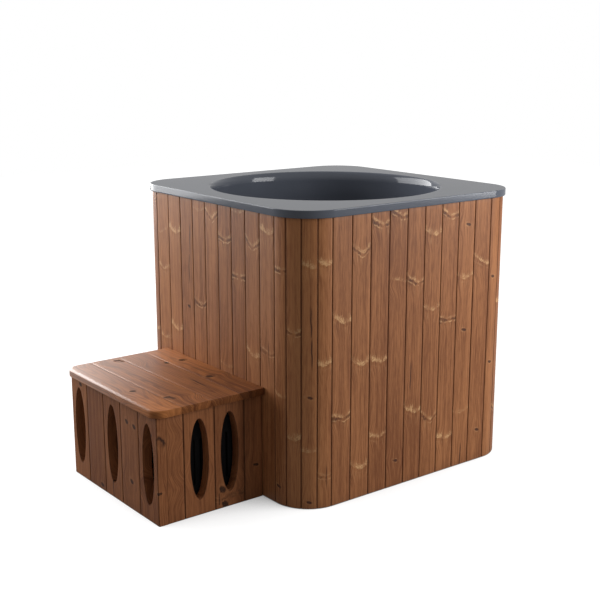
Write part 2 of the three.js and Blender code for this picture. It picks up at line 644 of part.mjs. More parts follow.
function chillerCover() {
  const outside = block(-chillerLength, 0, -coverReach, coverReach, CHILLER_FOOT_HEIGHT, chillerHeight);
  const inside = block(
    -chillerLength + CHILLER_SHEET, -CHILLER_SHEET,
    -coverReach + CHILLER_SHEET, coverReach - CHILLER_SHEET,
    CHILLER_FOOT_HEIGHT - OVERCUT, chillerHeight - CHILLER_SHEET,
  );
  const vents = Array.from({ length: VENT_COUNT }, (_, i) => {
    const x = -chillerLength / 2 + (i - (VENT_COUNT - 1) / 2) * VENT_PITCH;
    const wide = coverReach + OVERCUT;
    return block(x - VENT_WIDTH / 2, x + VENT_WIDTH / 2, -wide, wide, VENT_BOTTOM, VENT_BOTTOM + VENT_HEIGHT);
  });
  const rows = Math.floor((GRILLE_RADIUS - GRILLE_SLOT / 2) / GRILLE_PITCH);
  const grille = Array.from({ length: 2 * rows + 1 }, (_, i) => {
    const rise = (i - rows) * GRILLE_PITCH;
    const reach = Math.sqrt(GRILLE_RADIUS ** 2 - rise ** 2);
    const z = FAN_HEIGHT + rise;
    const front = -chillerLength - OVERCUT;
    return block(front, insideFront, -reach, reach, z - GRILLE_SLOT / 2, z + GRILLE_SLOT / 2);
  });
  const stubs = [-1, 1].map((side) => {
    const hole = rod('x', FITTING_TAIL_RADIUS + CLEARANCE, insideBack - OVERCUT, OVERCUT);
    return hole.translate(0, (side * FITTING_SPACING) / 2, FITTING_HEIGHT);
  });
  const inletReach = [INLET_WIDTH / 2 + CLEARANCE, INLET_HEIGHT / 2 + CLEARANCE];
  const inletHole = block(
    insideBack - OVERCUT, OVERCUT, -inletReach[0], inletReach[0], -inletReach[1], inletReach[1],
  ).translate(0, coverReach - INLET_SIDE_INSET, INLET_HEIGHT_OVER_FLOOR);
  return cut(outside, inside, ...vents, ...grille, ...stubs, inletHole);
}
add(chiller, 'chiller_cover', chillerCover(), 'black');

const inletBody = block(
  -INLET_DEPTH, CLEARANCE + INLET_FLANGE,
  -INLET_WIDTH / 2, INLET_WIDTH / 2, -INLET_HEIGHT / 2, INLET_HEIGHT / 2,
);
const inletPlate = block(
  CLEARANCE, CLEARANCE + INLET_FLANGE,
  -INLET_WIDTH / 2 - INLET_FLANGE, INLET_WIDTH / 2 + INLET_FLANGE,
  -INLET_HEIGHT / 2 - INLET_FLANGE, INLET_HEIGHT / 2 + INLET_FLANGE,
);
const inletSocket = block(
  -INLET_DEPTH / 2, INLET_FLANGE + OVERCUT,
  -INLET_WIDTH / 2 + 4, INLET_WIDTH / 2 - 4, -INLET_HEIGHT / 2 + 4, INLET_HEIGHT / 2 - 4,
);
const inlet = cut(join(inletBody, inletPlate), inletSocket);
const inletY = coverReach - INLET_SIDE_INSET;
add(chiller, 'chiller_power_inlet', inlet, 'plastic', 0, inletY, INLET_HEIGHT_OVER_FLOOR);

const fanX = -chillerLength + CHILLER_SHEET + FAN_FRONT_GAP;
const fanDrive = addGroup(chiller, 'fan_drive', fanX, 0, FAN_HEIGHT);
const bladeLength = FAN_RADIUS - FAN_HUB_RADIUS + 4;
const blades = Array.from({ length: FAN_BLADES }, (_, i) => {
  const blade = new THREE.BoxGeometry(FAN_BLADE_THICKNESS, FAN_BLADE_CHORD, bladeLength);
  blade.rotateZ(FAN_BLADE_PITCH).translate(0, 0, FAN_RADIUS - bladeLength / 2);
  return blade.rotateX((i * Math.PI * 2) / FAN_BLADES);
});
const hubEnd = FAN_HUB_LENGTH / 2;
const hubBore = rod('x', SHAFT_RADIUS + CLEARANCE, -hubEnd / 2, hubEnd + OVERCUT);
const fan = cut(join(rod('x', FAN_HUB_RADIUS, -hubEnd, hubEnd), ...blades), hubBore);
add(fanDrive, 'chiller_fan', fan, 'plastic');

const motorStart = hubEnd + 2;
const standBottom = trayTop + CLEARANCE - FAN_HEIGHT;
const motor = join(
  rod('x', MOTOR_RADIUS, motorStart, motorStart + MOTOR_LENGTH),
  rod('x', SHAFT_RADIUS, -hubEnd / 2 + CLEARANCE, motorStart + 1),
  block(
    motorStart + MOTOR_LENGTH / 2, motorStart + MOTOR_LENGTH / 2 + MOTOR_STAND_THICKNESS,
    -MOTOR_STAND_WIDTH / 2, MOTOR_STAND_WIDTH / 2, standBottom, 0,
  ),
);
add(fanDrive, 'chiller_fan_motor', motor, 'black');

const condenserLength = chillerLength - 2 * CONDENSER_END_GAP;
const finPitch = (condenserLength - CONDENSER_FIN_WIDTH) / (CONDENSER_FINS - 1);
const finOutline = [[condenserLength, CONDENSER_DEPTH], [0, CONDENSER_DEPTH]];
for (let fin = 0; fin < CONDENSER_FINS; fin += 1) {
  const left = fin * finPitch;
  const right = left + CONDENSER_FIN_WIDTH;
  if (fin > 0) finOutline.push([left, CONDENSER_DEPTH - CONDENSER_CORE]);
  finOutline.push([left, 0], [right, 0]);
  if (fin < CONDENSER_FINS - 1) finOutline.push([right, CONDENSER_DEPTH - CONDENSER_CORE]);
}
const finShape = new THREE.Shape(finOutline.map(([x, y]) => new THREE.Vector2(x, y)));
const condenserTop = chillerHeight - CHILLER_SHEET - CONDENSER_TOP_GAP;
const condenser = raised(finShape, trayTop + CLEARANCE, condenserTop);
const condenserY = -coverReach + CHILLER_SHEET + CONDENSER_SIDE_GAP;
add(chiller, 'chiller_condenser', condenser, 'aluminium', -chillerLength + CONDENSER_END_GAP, condenserY);

const compressorBottom = trayTop + CLEARANCE;
const compressorShoulder = compressorBottom + COMPRESSOR_HEIGHT - COMPRESSOR_DOME;
const compressor = turned([
  [0, compressorBottom],
  [COMPRESSOR_RADIUS, compressorBottom],
  [COMPRESSOR_RADIUS, compressorShoulder],
  [COMPRESSOR_RADIUS * 0.85, compressorShoulder + COMPRESSOR_DOME * 0.6],
  [COMPRESSOR_RADIUS * 0.5, compressorShoulder + COMPRESSOR_DOME * 0.95],
  [0, compressorShoulder + COMPRESSOR_DOME],
], ROUND_SIDES);
add(chiller, 'chiller_compressor', compressor, 'black', insideBack - COMPRESSOR_BACK_GAP - COMPRESSOR_RADIUS);

const exchangerX = insideBack - EXCHANGER_BACK_GAP - EXCHANGER_RADIUS;
const stubEnd = hoseEnd + FITTING_OVERLAP - chillerBack;
const stubSides = [-1, 1];
const stubs = stubSides.map((side) => {
  return rod('x', FITTING_TAIL_RADIUS, exchangerX, stubEnd).translate(0, (side * FITTING_SPACING) / 2, 0);
});
const stubBores = stubSides.map((side) => {
  const bore = rod('x', FITTING_BORE, exchangerX + EXCHANGER_RADIUS / 2, stubEnd + OVERCUT);
  return bore.translate(0, (side * FITTING_SPACING) / 2, 0);
});
const barrel = rod('y', EXCHANGER_RADIUS, -EXCHANGER_LENGTH / 2, EXCHANGER_LENGTH / 2);
const exchanger = cut(join(barrel.translate(exchangerX, 0, 0), ...stubs), ...stubBores);
add(chiller, 'chiller_heat_exchanger', exchanger, 'steel', 0, 0, FITTING_HEIGHT);

// Step against the left side. Its own space runs from its back at 0 to its front on -X.
const step = addGroup(object, 'step', -half - STEP_GAP, STEP_OFFSET);
const stepReach = STEP_WIDTH / 2;

// An upright board along +X with its outer face at y = 0, its face edges bevelled.
function wallBoard(left, right, hasOval) {
  const start = left + CLEARANCE / 2;
  const end = right - CLEARANCE / 2;
  const outline = new THREE.Shape([
    new THREE.Vector2(start + STEP_BOARD_EDGE, 0),
    new THREE.Vector2(end - STEP_BOARD_EDGE, 0),
    new THREE.Vector2(end, STEP_BOARD_EDGE),
    new THREE.Vector2(end, STEP_WALL),
    new THREE.Vector2(start, STEP_WALL),
    new THREE.Vector2(start, STEP_BOARD_EDGE),
  ]);
  const board = raised(outline, 0, wallTop);
  if (!hasOval) return board;
  const oval = rod('y', OVAL_WIDTH / 2, -OVERCUT, STEP_WALL + OVERCUT, OVAL_SIDES);
  oval.scale(1, 1, OVAL_HEIGHT / OVAL_WIDTH);
  return cut(board, oval.translate((left + right) / 2, 0, OVAL_CENTRE_HEIGHT));
}

function addWall(name, widths, ovals, x, y, turn) {
  const wall = addGroup(step, `step_${name}_wall`, x, y);
  wall.rotation.z = turn;
  let left = 0;
  widths.forEach((width, i) => {
    const board = wallBoard(left, left + width, ovals.includes(i));
    add(wall, `step_${name}_board_${i + 1}`, board, 'stepWood');
    left += width;
  });
}

const frontBoard = STEP_WIDTH / STEP_FRONT_BOARDS;
const frontWidths = Array.from({ length: STEP_FRONT_BOARDS }, () => frontBoard);
const sideLength = STEP_DEPTH - STEP_WALL - CLEARANCE;
const lastSideBoard = sideLength - STEP_FIRST_SIDE_BOARD - 2 * STEP_SIDE_BOARD;
const sideWidths = [STEP_FIRST_SIDE_BOARD, STEP_SIDE_BOARD, STEP_SIDE_BOARD, lastSideBoard];
addWall('front', frontWidths, [0, 2, 4], -STEP_DEPTH, stepReach, -Math.PI / 2);
addWall('right', sideWidths, [1, 2], -sideLength, -stepReach, 0);
addWall('left', [...sideWidths].reverse(), [], 0, stepReach, Math.PI);

// Top boards run along Y. The front board carries the rounded outer corners.
const topFront = -STEP_DEPTH - STEP_FRONT_OVERHANG;
const topReach = stepReach + STEP_SIDE_OVERHANG;
const endBoard = (-topFront - 2 * STEP_TOP_BOARD) / 2;
const topSeams = [topFront, topFront + endBoard, -endBoard - STEP_TOP_BOARD, -endBoard, 0];
for (let i = 0; i < topSeams.length - 1; i += 1) {
  const front = topSeams[i] + (i > 0 ? CLEARANCE / 2 : 0);
  const back = topSeams[i + 1] - CLEARANCE / 2;
  const radius = i === 0 ? STEP_TOP_CORNER_RADIUS : 0;
  const outline = new THREE.Shape();
  outline.moveTo(back, -topReach);
  outline.lineTo(back, topReach);
  if (radius > 0) {
    outline.absarc(front + radius, topReach - radius, radius, Math.PI / 2, Math.PI);
    outline.absarc(front + radius, -topReach + radius, radius, Math.PI, Math.PI * 1.5);
  } else {
    outline.lineTo(front, topReach);
    outline.lineTo(front, -topReach);
  }
  outline.closePath();
  const board = softened(outline, STEP_HEIGHT - STEP_TOP_THICKNESS, STEP_HEIGHT, STEP_TOP_EDGE, 5);
  add(step, `step_top_board_${i + 1}`, board, 'stepWood');
}

// Cleats under the top that the boards are fixed to.
const cleatOuter = stepReach - STEP_WALL - CLEARANCE;
const cleatFront = -STEP_DEPTH + STEP_WALL + CLEARANCE;
const cleatInner = cleatOuter - STEP_CLEAT;
const sideCleat = block(cleatFront, 0, -STEP_CLEAT / 2, STEP_CLEAT / 2, cleatBottom, wallTop);
const cleatMiddle = (cleatOuter + cleatInner) / 2;
add(step, 'step_cleat_right', sideCleat, 'frameWood', 0, -cleatMiddle);
add(step, 'step_cleat_left', sideCleat.clone(), 'frameWood', 0, cleatMiddle);
const frontReach = cleatInner - CLEARANCE;
const frontCleat = block(cleatFront, cleatFront + STEP_CLEAT, -frontReach, frontReach, cleatBottom, wallTop);
add(step, 'step_cleat_front', frontCleat, 'frameWood');

export default object;
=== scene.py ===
# %% [markdown]
# # A cold plunge tub and its step
# The tub is a dark moulded basin with a square rim, set in a box of upright pine boards. A low step of the
# same wood stands against its left side and hides the drain valve and the water chiller. The measured
# solids are loaded first, and they are never moved. Every new piece is worked out in the same frame, in
# metres, so it falls into its place without any fitting.

# %% Load the measured solids
import math

import bmesh
import bpy
import mathutils
import numpy as np
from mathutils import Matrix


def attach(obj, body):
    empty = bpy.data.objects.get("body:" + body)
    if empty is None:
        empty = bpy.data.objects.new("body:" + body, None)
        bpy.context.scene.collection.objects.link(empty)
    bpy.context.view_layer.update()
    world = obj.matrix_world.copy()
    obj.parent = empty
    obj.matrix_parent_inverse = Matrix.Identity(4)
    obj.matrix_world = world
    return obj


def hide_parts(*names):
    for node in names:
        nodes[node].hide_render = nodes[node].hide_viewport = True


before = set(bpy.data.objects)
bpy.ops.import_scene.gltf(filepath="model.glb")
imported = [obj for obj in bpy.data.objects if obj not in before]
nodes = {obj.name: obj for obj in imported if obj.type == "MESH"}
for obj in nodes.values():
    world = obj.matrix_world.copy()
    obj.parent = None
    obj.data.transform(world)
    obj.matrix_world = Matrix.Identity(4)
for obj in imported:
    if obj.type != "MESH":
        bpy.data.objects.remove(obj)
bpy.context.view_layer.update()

# %% [markdown]
# ## From a net of points to a mesh
# Almost everything here is a net: rows of points that follow a shape in two directions. numpy works out all
# the points of a net at once, and four neighbours make one face. A modelling session with extrusions would
# give the same surfaces, but a formula can be read again, and it can be changed in one place.

# %% Nets and pieces
def net_faces(rows, columns):
    """Quads of point (i, j) with (i, j+1), (i+1, j+1) and (i+1, j). The last column meets the first."""
    i, j = np.meshgrid(np.arange(rows - 1), np.arange(columns), indexing="ij")
    k = (j + 1) % columns
    quads = [i * columns + j, i * columns + k, (i + 1) * columns + k, (i + 1) * columns + j]
    return np.stack(quads, axis=-1).reshape(-1, 4)


def closed_net(points, ring=False):
    """Rows of points as points and faces. A ring joins its last row to its first, a rod has two flat ends."""
    rows, columns = points.shape[:2]
    if ring:
        faces = (net_faces(rows + 1, columns) % (rows * columns)).tolist()
    else:
        loop = np.arange(columns)
        ends = [loop[::-1].tolist(), (loop + (rows - 1) * columns).tolist()]
        faces = net_faces(rows, columns).tolist() + ends
    return points.reshape(-1, 3), faces


def full_turn(count):
    """Equal angles all the way round."""
    return np.linspace(0, 2 * math.pi, count, endpoint=False)


CREASE = 40


def add_mesh(name, points, faces, crease=CREASE):
    """Points and faces as an object at the origin, faces outward, smooth up to the crease angle."""
    mesh = bpy.data.meshes.new(name)
    mesh.from_pydata(np.reshape(points, (-1, 3)).tolist(), [], [list(face) for face in faces])
    shells = bmesh.new()
    shells.from_mesh(mesh)
    bmesh.ops.recalc_face_normals(shells, faces=shells.faces)
    shells.to_mesh(mesh)
    shells.free()
    mesh.shade_smooth()
    mesh.set_sharp_from_angle(angle=math.radians(crease))
    piece = bpy.data.objects.new(name, mesh)
    bpy.context.scene.collection.objects.link(piece)
    return piece


def settle(piece, body, stands_for, finish):
    """Lets a piece ride on its body, stand for its solids, and wear its finish."""
    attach(piece, body)
    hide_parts(*stands_for)
    piece.data.materials.clear()
    piece.data.materials.append(finish)
    return piece


print("a net of 3 rows and 4 columns has", len(net_faces(3, 4)), "faces")

# %% [markdown]
# ## Writing a finish as a sum
# A finish is a small calculation that runs at every point of a surface. Blender draws it as boxes and
# wires. Here a number on the surface is a Python object, so that a sum of two numbers adds one Math node to
# the tree. The trees stay ordinary node trees, and can be opened and changed by hand in Blender.

# %% Numbers on a surface
def plug(tree, value, socket):
    """Wires a surface number or a socket to a socket, or writes a constant on it."""
    if isinstance(value, Shade):
        value = value.socket
    if isinstance(value, bpy.types.NodeSocket):
        tree.links.new(value, socket)
    else:
        socket.default_value = value


def fill(tree, sockets, *values):
    """Plugs several values into a row of sockets."""
    for value, socket in zip(values, sockets):
        plug(tree, value, socket)


class Shade:
    """A number that changes over a surface. Each operation adds one node to its tree."""

    def __init__(self, tree, socket):
        self.tree = tree
        self.socket = socket

    def apply(self, operation, *others):
        node = self.tree.nodes.new("ShaderNodeMath")
        node.operation = operation
        fill(self.tree, node.inputs, self, *others)
        return Shade(self.tree, node.outputs[0])

    def __add__(self, other):
        return self.apply("ADD", other)

    def __sub__(self, other):
        return self.apply("SUBTRACT", other)

    def __mul__(self, other):
        return self.apply("MULTIPLY", other)

    def __truediv__(self, other):
        return self.apply("DIVIDE", other)

    def size(self):
        return self.apply("ABSOLUTE")

    def root(self):
        return self.apply("SQRT")

    def rest(self):
        """One minus the number."""
        return self * -1 + 1

    def ramp(self, low, high):
        """A soft step: 0 below low, 1 above high, with no corners between."""
        node = self.tree.nodes.new("ShaderNodeMapRange")
        node.interpolation_type = "SMOOTHSTEP"
        plug(self.tree, self, node.inputs["Value"])
        plug(self.tree, low, node.inputs["From Min"])
        plug(self.tree, high, node.inputs["From Max"])
        return Shade(self.tree, node.outputs["Result"])


def parts_of(tree, vector):
    """The three numbers of a vector socket."""
    node = tree.nodes.new("ShaderNodeSeparateXYZ")
    tree.links.new(vector, node.inputs[0])
    return [Shade(tree, socket) for socket in node.outputs]


def vector_of(tree, x, y, z=0.0):
    """One vector from three numbers."""
    node = tree.nodes.new("ShaderNodeCombineXYZ")
    fill(tree, node.inputs, x, y, z)
    return node.outputs[0]


def cloud(tree, vector, scale=1.0, detail=2.0, roughness=0.5):
    """Soft noise between 0 and 1 at a place."""
    node = tree.nodes.new("ShaderNodeTexNoise")
    tree.links.new(vector, node.inputs["Vector"])
    for name, value in (("Scale", scale), ("Detail", detail), ("Roughness", roughness)):
        plug(tree, value, node.inputs[name])
    return Shade(tree, node.outputs[0])


def blend(tree, share, first, second):
    """A colour between two colours, as a socket."""
    node = tree.nodes.new("ShaderNodeMix")
    node.data_type = "RGBA"
    plug(tree, share, node.inputs[0])
    plug(tree, first, node.inputs[6])
    plug(tree, second, node.inputs[7])
    return node.outputs[2]


def paint(red, green, blue):
    """A colour read off a screen, 0 to 255 each, as the linear light that Blender works in."""
    share = np.array([red, green, blue]) / 255
    linear = np.where(share <= 0.04045, share / 12.92, ((share + 0.055) / 1.055) ** 2.4)
    return (*linear.tolist(), 1.0)


print("middle brown in linear light:", np.round(paint(150, 101, 71), 3).tolist())

# %% Groups and finishes
def new_group(name, inputs, outputs):
    """An empty node group with named sockets, and the nodes at its two ends."""
    tree = bpy.data.node_groups.new(name, "ShaderNodeTree")
    for socket, kind in inputs.items():
        tree.interface.new_socket(socket, in_out="INPUT", socket_type="NodeSocket" + kind)
    for socket, kind in outputs.items():
        tree.interface.new_socket(socket, in_out="OUTPUT", socket_type="NodeSocket" + kind)
    return tree, tree.nodes.new("NodeGroupInput").outputs, tree.nodes.new("NodeGroupOutput").inputs


def use_group(tree, group, **values):
    """Places a group in a tree, fills its inputs by name, and returns its outputs."""
    node = tree.nodes.new("ShaderNodeGroup")
    node.node_tree = group
    for name, value in values.items():
        plug(tree, value, node.inputs[name.replace("_", " ")])
    return node.outputs


def new_finish(name, **constants):
    """A material with one Principled shader, whose constant sockets are set by name."""
    material = bpy.data.materials.new(name)
    material.use_nodes = True
    shader = material.node_tree.nodes["Principled BSDF"]
    for socket, value in constants.items():
        shader.inputs[socket.replace("_", " ")].default_value = value
    return material, material.node_tree, shader.inputs


def emboss(tree, height, strength, distance, normal):
    """Bump from a height, in metres, wired to a shader's normal."""
    node = tree.nodes.new("ShaderNodeBump")
    node.inputs["Strength"].default_value = strength
    node.inputs["Distance"].default_value = distance
    plug(tree, height, node.inputs["Height"])
    tree.links.new(node.outputs[0], normal)


def place_of(tree):
    """The point's own place on the object, in metres."""
    return tree.nodes.new("ShaderNodeTexCoord").outputs["Object"]


print("helpers for groups and finishes are ready")

# %% [markdown]
# ## Knotty pine, as one group
# The boards are flat-sawn pine, darkened by heat and oil. Three things make such a board: broad tonal bands
# and fine fibres along it, a tone of its own, and the whorls where a ring of branches left the trunk. A
# whorl shows as a cream line that sags like a V, with a feathered upper side, and dark wings under its two
# arms. A photograph of wood would repeat. A group that measures from the nearest knot draws each board
# anew. The mesh gives it two maps: grain (board number plus metres across, and metres along) and knot
# (metres from the nearest mark), and for each face the shape of that mark.

# %% The fibres group
fibres, source, result = new_group(
    "fibres",
    {"Across": "Float", "Along": "Float", "Board": "Float"},
    {"Bands": "Float", "Lines": "Float", "Pores": "Float", "Rings": "Float", "Patches": "Float"},
)
across, along, board = (Shade(fibres, socket) for socket in source[:3])
drift = cloud(fibres, vector_of(fibres, along * 1.6, board * 5.3), 1.0, 1.0) * 0.016
bands = cloud(fibres, vector_of(fibres, (across + drift) * 60, along * 0.6, board * 3.7), 1.0, 2.5, 0.6)
lines = cloud(fibres, vector_of(fibres, (across + drift) * 300, along * 5, board * 9.1), 1.0, 2.0, 0.6)
pores = cloud(fibres, vector_of(fibres, across * 430, along * 30, board * 2.3), 1.0, 3.0, 0.65)
patches = cloud(fibres, vector_of(fibres, across * 9, along * 3.5, board * 6.1), 1.0, 2.0, 0.55)
heart = (cloud(fibres, vector_of(fibres, board * 11.3, 0.5), 1.0, 0.0) - 0.5) * 0.3 + along * 0.06
side = across + drift + (cloud(fibres, vector_of(fibres, board * 8.9, 4.5), 1.0, 0.0) - 0.5) * 0.06
cone = (side * side + heart * heart).root() + (patches - 0.5) * 0.012
rings = ((cone * 1000).apply("SINE") * 0.5 + 0.5).ramp(0.35, 1.0)
fill(fibres, result, bands, lines, pores, rings, patches)
print("fibres group:", len(fibres.nodes), "nodes")

# %% The knot group
knots, source, result = new_group(
    "knot marks",
    {"Knot": "Vector", "Whorl": "Vector", "Mark": "Vector", "Board": "Float"},
    {"Cream": "Float", "Wings": "Float", "Core": "Float", "Streak": "Float", "Near": "Float"},
)
knot_x, knot_y, _ = parts_of(knots, source["Knot"])
rise, wing, feather = parts_of(knots, source["Whorl"])
pin, resin, _ = parts_of(knots, source["Mark"])
board = Shade(knots, source["Board"])
rough = cloud(knots, vector_of(knots, knot_x * 70, knot_y * 45, board * 1.9), 1.0, 2.0) - 0.5
rays = cloud(knots, vector_of(knots, knot_x * 330, knot_y * 22, board * 4.1), 1.0, 2.0, 0.6)
specks = cloud(knots, vector_of(knots, knot_x * 260, knot_y * 170, board * 2.7), 1.0, 1.5)
patch = cloud(knots, vector_of(knots, knot_x * 60, knot_y * 18, board * 3.3), 1.0, 1.0).ramp(0.3, 0.66)
skew = (cloud(knots, vector_of(knots, board * 13.7, rise * 900), 1.0, 0.0) - 0.5) * 45
arm = (knot_x * knot_x + 0.006 ** 2).root() - 0.006
above = knot_y - rise * arm / 0.034 * (knot_x * skew + 1) + rough * 0.014 + (rays - 0.5) * 0.005
below = above * -1
plume = feather * rays * rays * 0.085 + 0.0075
crest = above.ramp(-0.003, 0.003) * above.ramp(plume * 0.2, plume).rest() * (feather * 0.85 + wing * 0.35)
crest = crest * (patch * 0.7 + 0.3) * (specks.ramp(0.3, 0.6) * 0.75 + 0.35)
echo = (below - arm * 0.1 - 0.011).size().ramp(0.0, 0.0045).rest() * wing * patch * 0.8
tails = below.ramp(0.004, 0.016) * below.ramp(0.02, 0.07).rest()
tails = tails * rays.ramp(0.5, 0.72) * (wing + feather) * 0.3
cream = crest + echo + tails
depth = (arm * 0.3 + 0.004) * (rays * 0.9 + 0.55)
wings = below.ramp(-0.003, 0.004) * below.ramp(depth * 0.5, depth * 1.9).rest() * arm.ramp(-0.006, 0.009)
second = (below - arm * 0.1 - 0.0175).size().ramp(0.0, 0.004).rest() * patch * 0.6
strokes = specks.ramp(0.6, 0.72) * above.size().ramp(0.002, 0.016).rest() * feather * 0.7
wings = (wings * (specks.ramp(0.3, 0.55) * 0.5 + 0.6) + second) * wing * (rough * 1.4 + 1.0) + strokes
wide = pin * 0.002 + 0.0095
tall = pin * 0.0055
flat = (knot_y + knot_x * 0.22) / (tall + 0.0001)
ring = ((knot_x / wide) * (knot_x / wide) + flat * flat).root() + rough * 1.1
core = ring.ramp(0.55, 1.25).rest() * pin.ramp(0.0, 1.0) * (specks.ramp(0.25, 0.6) * 0.3 + 0.7)
heart = (ring + rough * 0.8 + (knot_x + knot_y) * 40).ramp(0.0, 1.0).rest() * pin.ramp(2.6, 3.6)
core = core * (heart * 0.7).rest()
cream = cream + ring.ramp(1.0, 2.4).rest() * ring.ramp(0.9, 1.25) * pin.ramp(0.0, 1.0) * patch * 0.4
wander = cloud(knots, vector_of(knots, knot_y * 14, board * 7.7), 1.0, 1.0) * 0.010 - 0.005
streak = (knot_x + wander).size().ramp(0.0006, 0.0036).rest() * knot_y.size().ramp(0.015, 0.075).rest()
streak = streak * resin * (rays * 1.1 + 0.25)
near = knot_y.size().ramp(0.0, 0.07).rest() * (wing + feather + pin).ramp(0.0, 0.5)
fill(knots, result, cream, wings, core, streak, near)
print("knot group:", len(knots.nodes), "nodes")

# %% The board group
pine, source, result = new_group(
    "knotty pine",
    {"Grain": "Vector", "Knot": "Vector", "Whorl": "Vector", "Mark": "Vector", "Edge": "Float",
     "Light": "Color", "Dark": "Color", "Cream": "Color", "Heartwood": "Color", "Rings": "Float",
     "Fine": "Float"},
    {"Colour": "Color", "Roughness": "Float", "Height": "Float", "Sound": "Float"},
)
metres, along, _ = parts_of(pine, source["Grain"])
board = (metres + 0.5).apply("FLOOR")
across = metres - board
knot_x, _, _ = parts_of(pine, source["Knot"])
_, _, tone = parts_of(pine, source["Mark"])
marks = use_group(pine, knots, Knot=source["Knot"], Whorl=source["Whorl"], Mark=source["Mark"], Board=board)
cream, wings, core, streak, near = (Shade(pine, socket) for socket in marks)
bent = across - knot_x * near * 0.35
wood = use_group(pine, fibres, Across=bent, Along=along, Board=board)
bands, lines, pores, rings, patches = (Shade(pine, socket) for socket in wood)
edge = Shade(pine, source["Edge"])
fine = Shade(pine, source["Fine"])
grey = (bands - 0.5) * 1.3 + ((lines - 0.5) * 1.3 + (pores - 0.5) * 1.1) * fine + (patches - 0.5) * 0.6 + tone
grey = grey - rings * Shade(pine, source["Rings"])
colour = blend(pine, grey.ramp(-0.7, 0.7), source["Dark"], source["Light"])
dash = pores.ramp(0.62, 0.8) * lines.ramp(0.52, 0.66)
vein = (lines.ramp(0.60, 0.78) * bands.ramp(0.42, 0.6) * 0.3 + dash * 0.35) * fine
colour = blend(pine, vein, colour, source["Heartwood"])
colour = blend(pine, (cream * (pores * 0.6 + 0.7)).ramp(0.0, 1.0) * 0.85, colour, source["Cream"])
colour = blend(pine, (wings * 0.68 + core + streak).ramp(0.05, 1.0) * 0.9, colour, source["Heartwood"])
# The rounded edges at the seams are darkened: part dirt and wear, part painted shade in the seams.
colour = blend(pine, edge * 0.5, colour, source["Heartwood"])
height = (lines * 0.5 + pores * 0.35 + bands * 0.3) - core * 0.5 + cream * 0.2
gloss = (pores - 0.5) * fine * 0.2 + edge * 0.25
sound = (core + streak).ramp(0.1, 0.7).rest()
fill(pine, result, colour, gloss, height, sound)
print("board group:", len(pine.nodes), "nodes")

# %% Oiled boards and step boards
GRAIN_DEPTH = 0.0008
OUTER_PLANK_X = -0.874


def board_finish(name, shine, matt, rings, fine, relief, colours, coat=0.0):
    """A pine finish: the maps on the mesh go into the group, and the group into the shader.
    The coat of oil, if there is one, is a painted sheen: whole at the step's far outer corner and thinned out
    towards the tub and the near end."""
    material, tree, shader = new_finish(name, Specular_IOR_Level=shine, Coat_Roughness=0.33)
    values = {"Rings": rings, "Fine": fine}
    values.update(zip(("Light", "Dark", "Cream", "Heartwood"), (paint(*colour) for colour in colours)))
    for layer in ("grain", "knot"):
        node = tree.nodes.new("ShaderNodeUVMap")
        node.uv_map = layer
        values[layer.capitalize()] = node.outputs[0]
    for layer in ("whorl", "mark", "edge"):
        node = tree.nodes.new("ShaderNodeAttribute")
        node.attribute_name = layer
        values[layer.capitalize()] = node.outputs["Fac" if layer == "edge" else "Vector"]
    wood = use_group(tree, pine, **values)
    plug(tree, wood["Colour"], shader["Base Color"])
    plug(tree, Shade(tree, wood["Roughness"]) + matt, shader["Roughness"])
    if coat:
        x, y, _ = parts_of(tree, place_of(tree))
        # Painted sheen: the coat is laid on by place, whole at the far outer corner and gone towards the tub
        # and the near end.
        painted_sheen_share = (y - (x - OUTER_PLANK_X) * 0.8).ramp(-0.32, 0.28)
        plug(tree, Shade(tree, wood["Sound"]) * painted_sheen_share * coat, shader["Coat Weight"])
    emboss(tree, wood["Height"], relief, GRAIN_DEPTH, shader["Normal"])
    return material


oiled_boards = board_finish(
    "oiled boards", 0.2, 0.5, 0.1, 1.0, 0.35, [(172, 115, 73), (112, 65, 36), (208, 164, 116), (58, 31, 21)],
)
step_boards = board_finish(
    "step boards", 0.1, 0.55, 0.05, 1.0, 0.35, [(152, 98, 62), (100, 58, 35), (172, 122, 82), (36, 23, 18)],
)
step_planks = board_finish(
    "step planks", 0.05, 0.5, 0.16, 0.5, 0.06, [(178, 113, 65), (89, 50, 29), (196, 144, 98), (18, 11, 8)],
    coat=1.0,
)
print("finishes:", oiled_boards.name, step_boards.name, "and", step_planks.name)

# %% [markdown]
# ## What the eye finds on the boards
# Each board carries two to four marks. The boards that face the viewer have theirs at the heights where the
# real boards have them. The others get theirs from a seeded draw, so that every run gives the same tub. A
# mark is a height in metres, a place across (-1 at one edge, 1 at the other) and a kind.

# %% Kinds of mark, and the boards that are seen
# Each kind: how far the line sags, dark wings, cream feather, size of the knot, resin
KINDS = {
    "wings": (0.017, 0.85, 0.5, 0, 0),
    "deep": (0.03, 0.75, 0.6, 0, 0),
    "flat": (0.007, 0.95, 0.3, 0, 0),
    "tuft": (0.016, 0.2, 1, 0, 0),
    "vee": (0.016, 0.3, 0.75, 0, 0),
    "line": (0.006, 0, 0.8, 0, 0),
    "wisp": (0.012, 0, 0.55, 0, 0),
    "pin": (0, 0, 0, 1, 0),
    "streak": (0, 0, 0, 0, 1.6),
    "cross": (0.014, 0.6, 0.3, 0, 0.9),
    "knot": (0, 0, 0, 2.4, 0),
    "spot": (0, 0, 0, 1.5, 0),
    "branch": (0, 0, 0, 4, 0),
}


def read_marks(*boards):
    """One line of text for each board: a height, a place across and a kind for every mark on it."""
    lines = [[mark.split() for mark in board.split(", ")] for board in boards]
    return [[(float(height), float(place), kind) for height, place, kind in line] for line in lines]


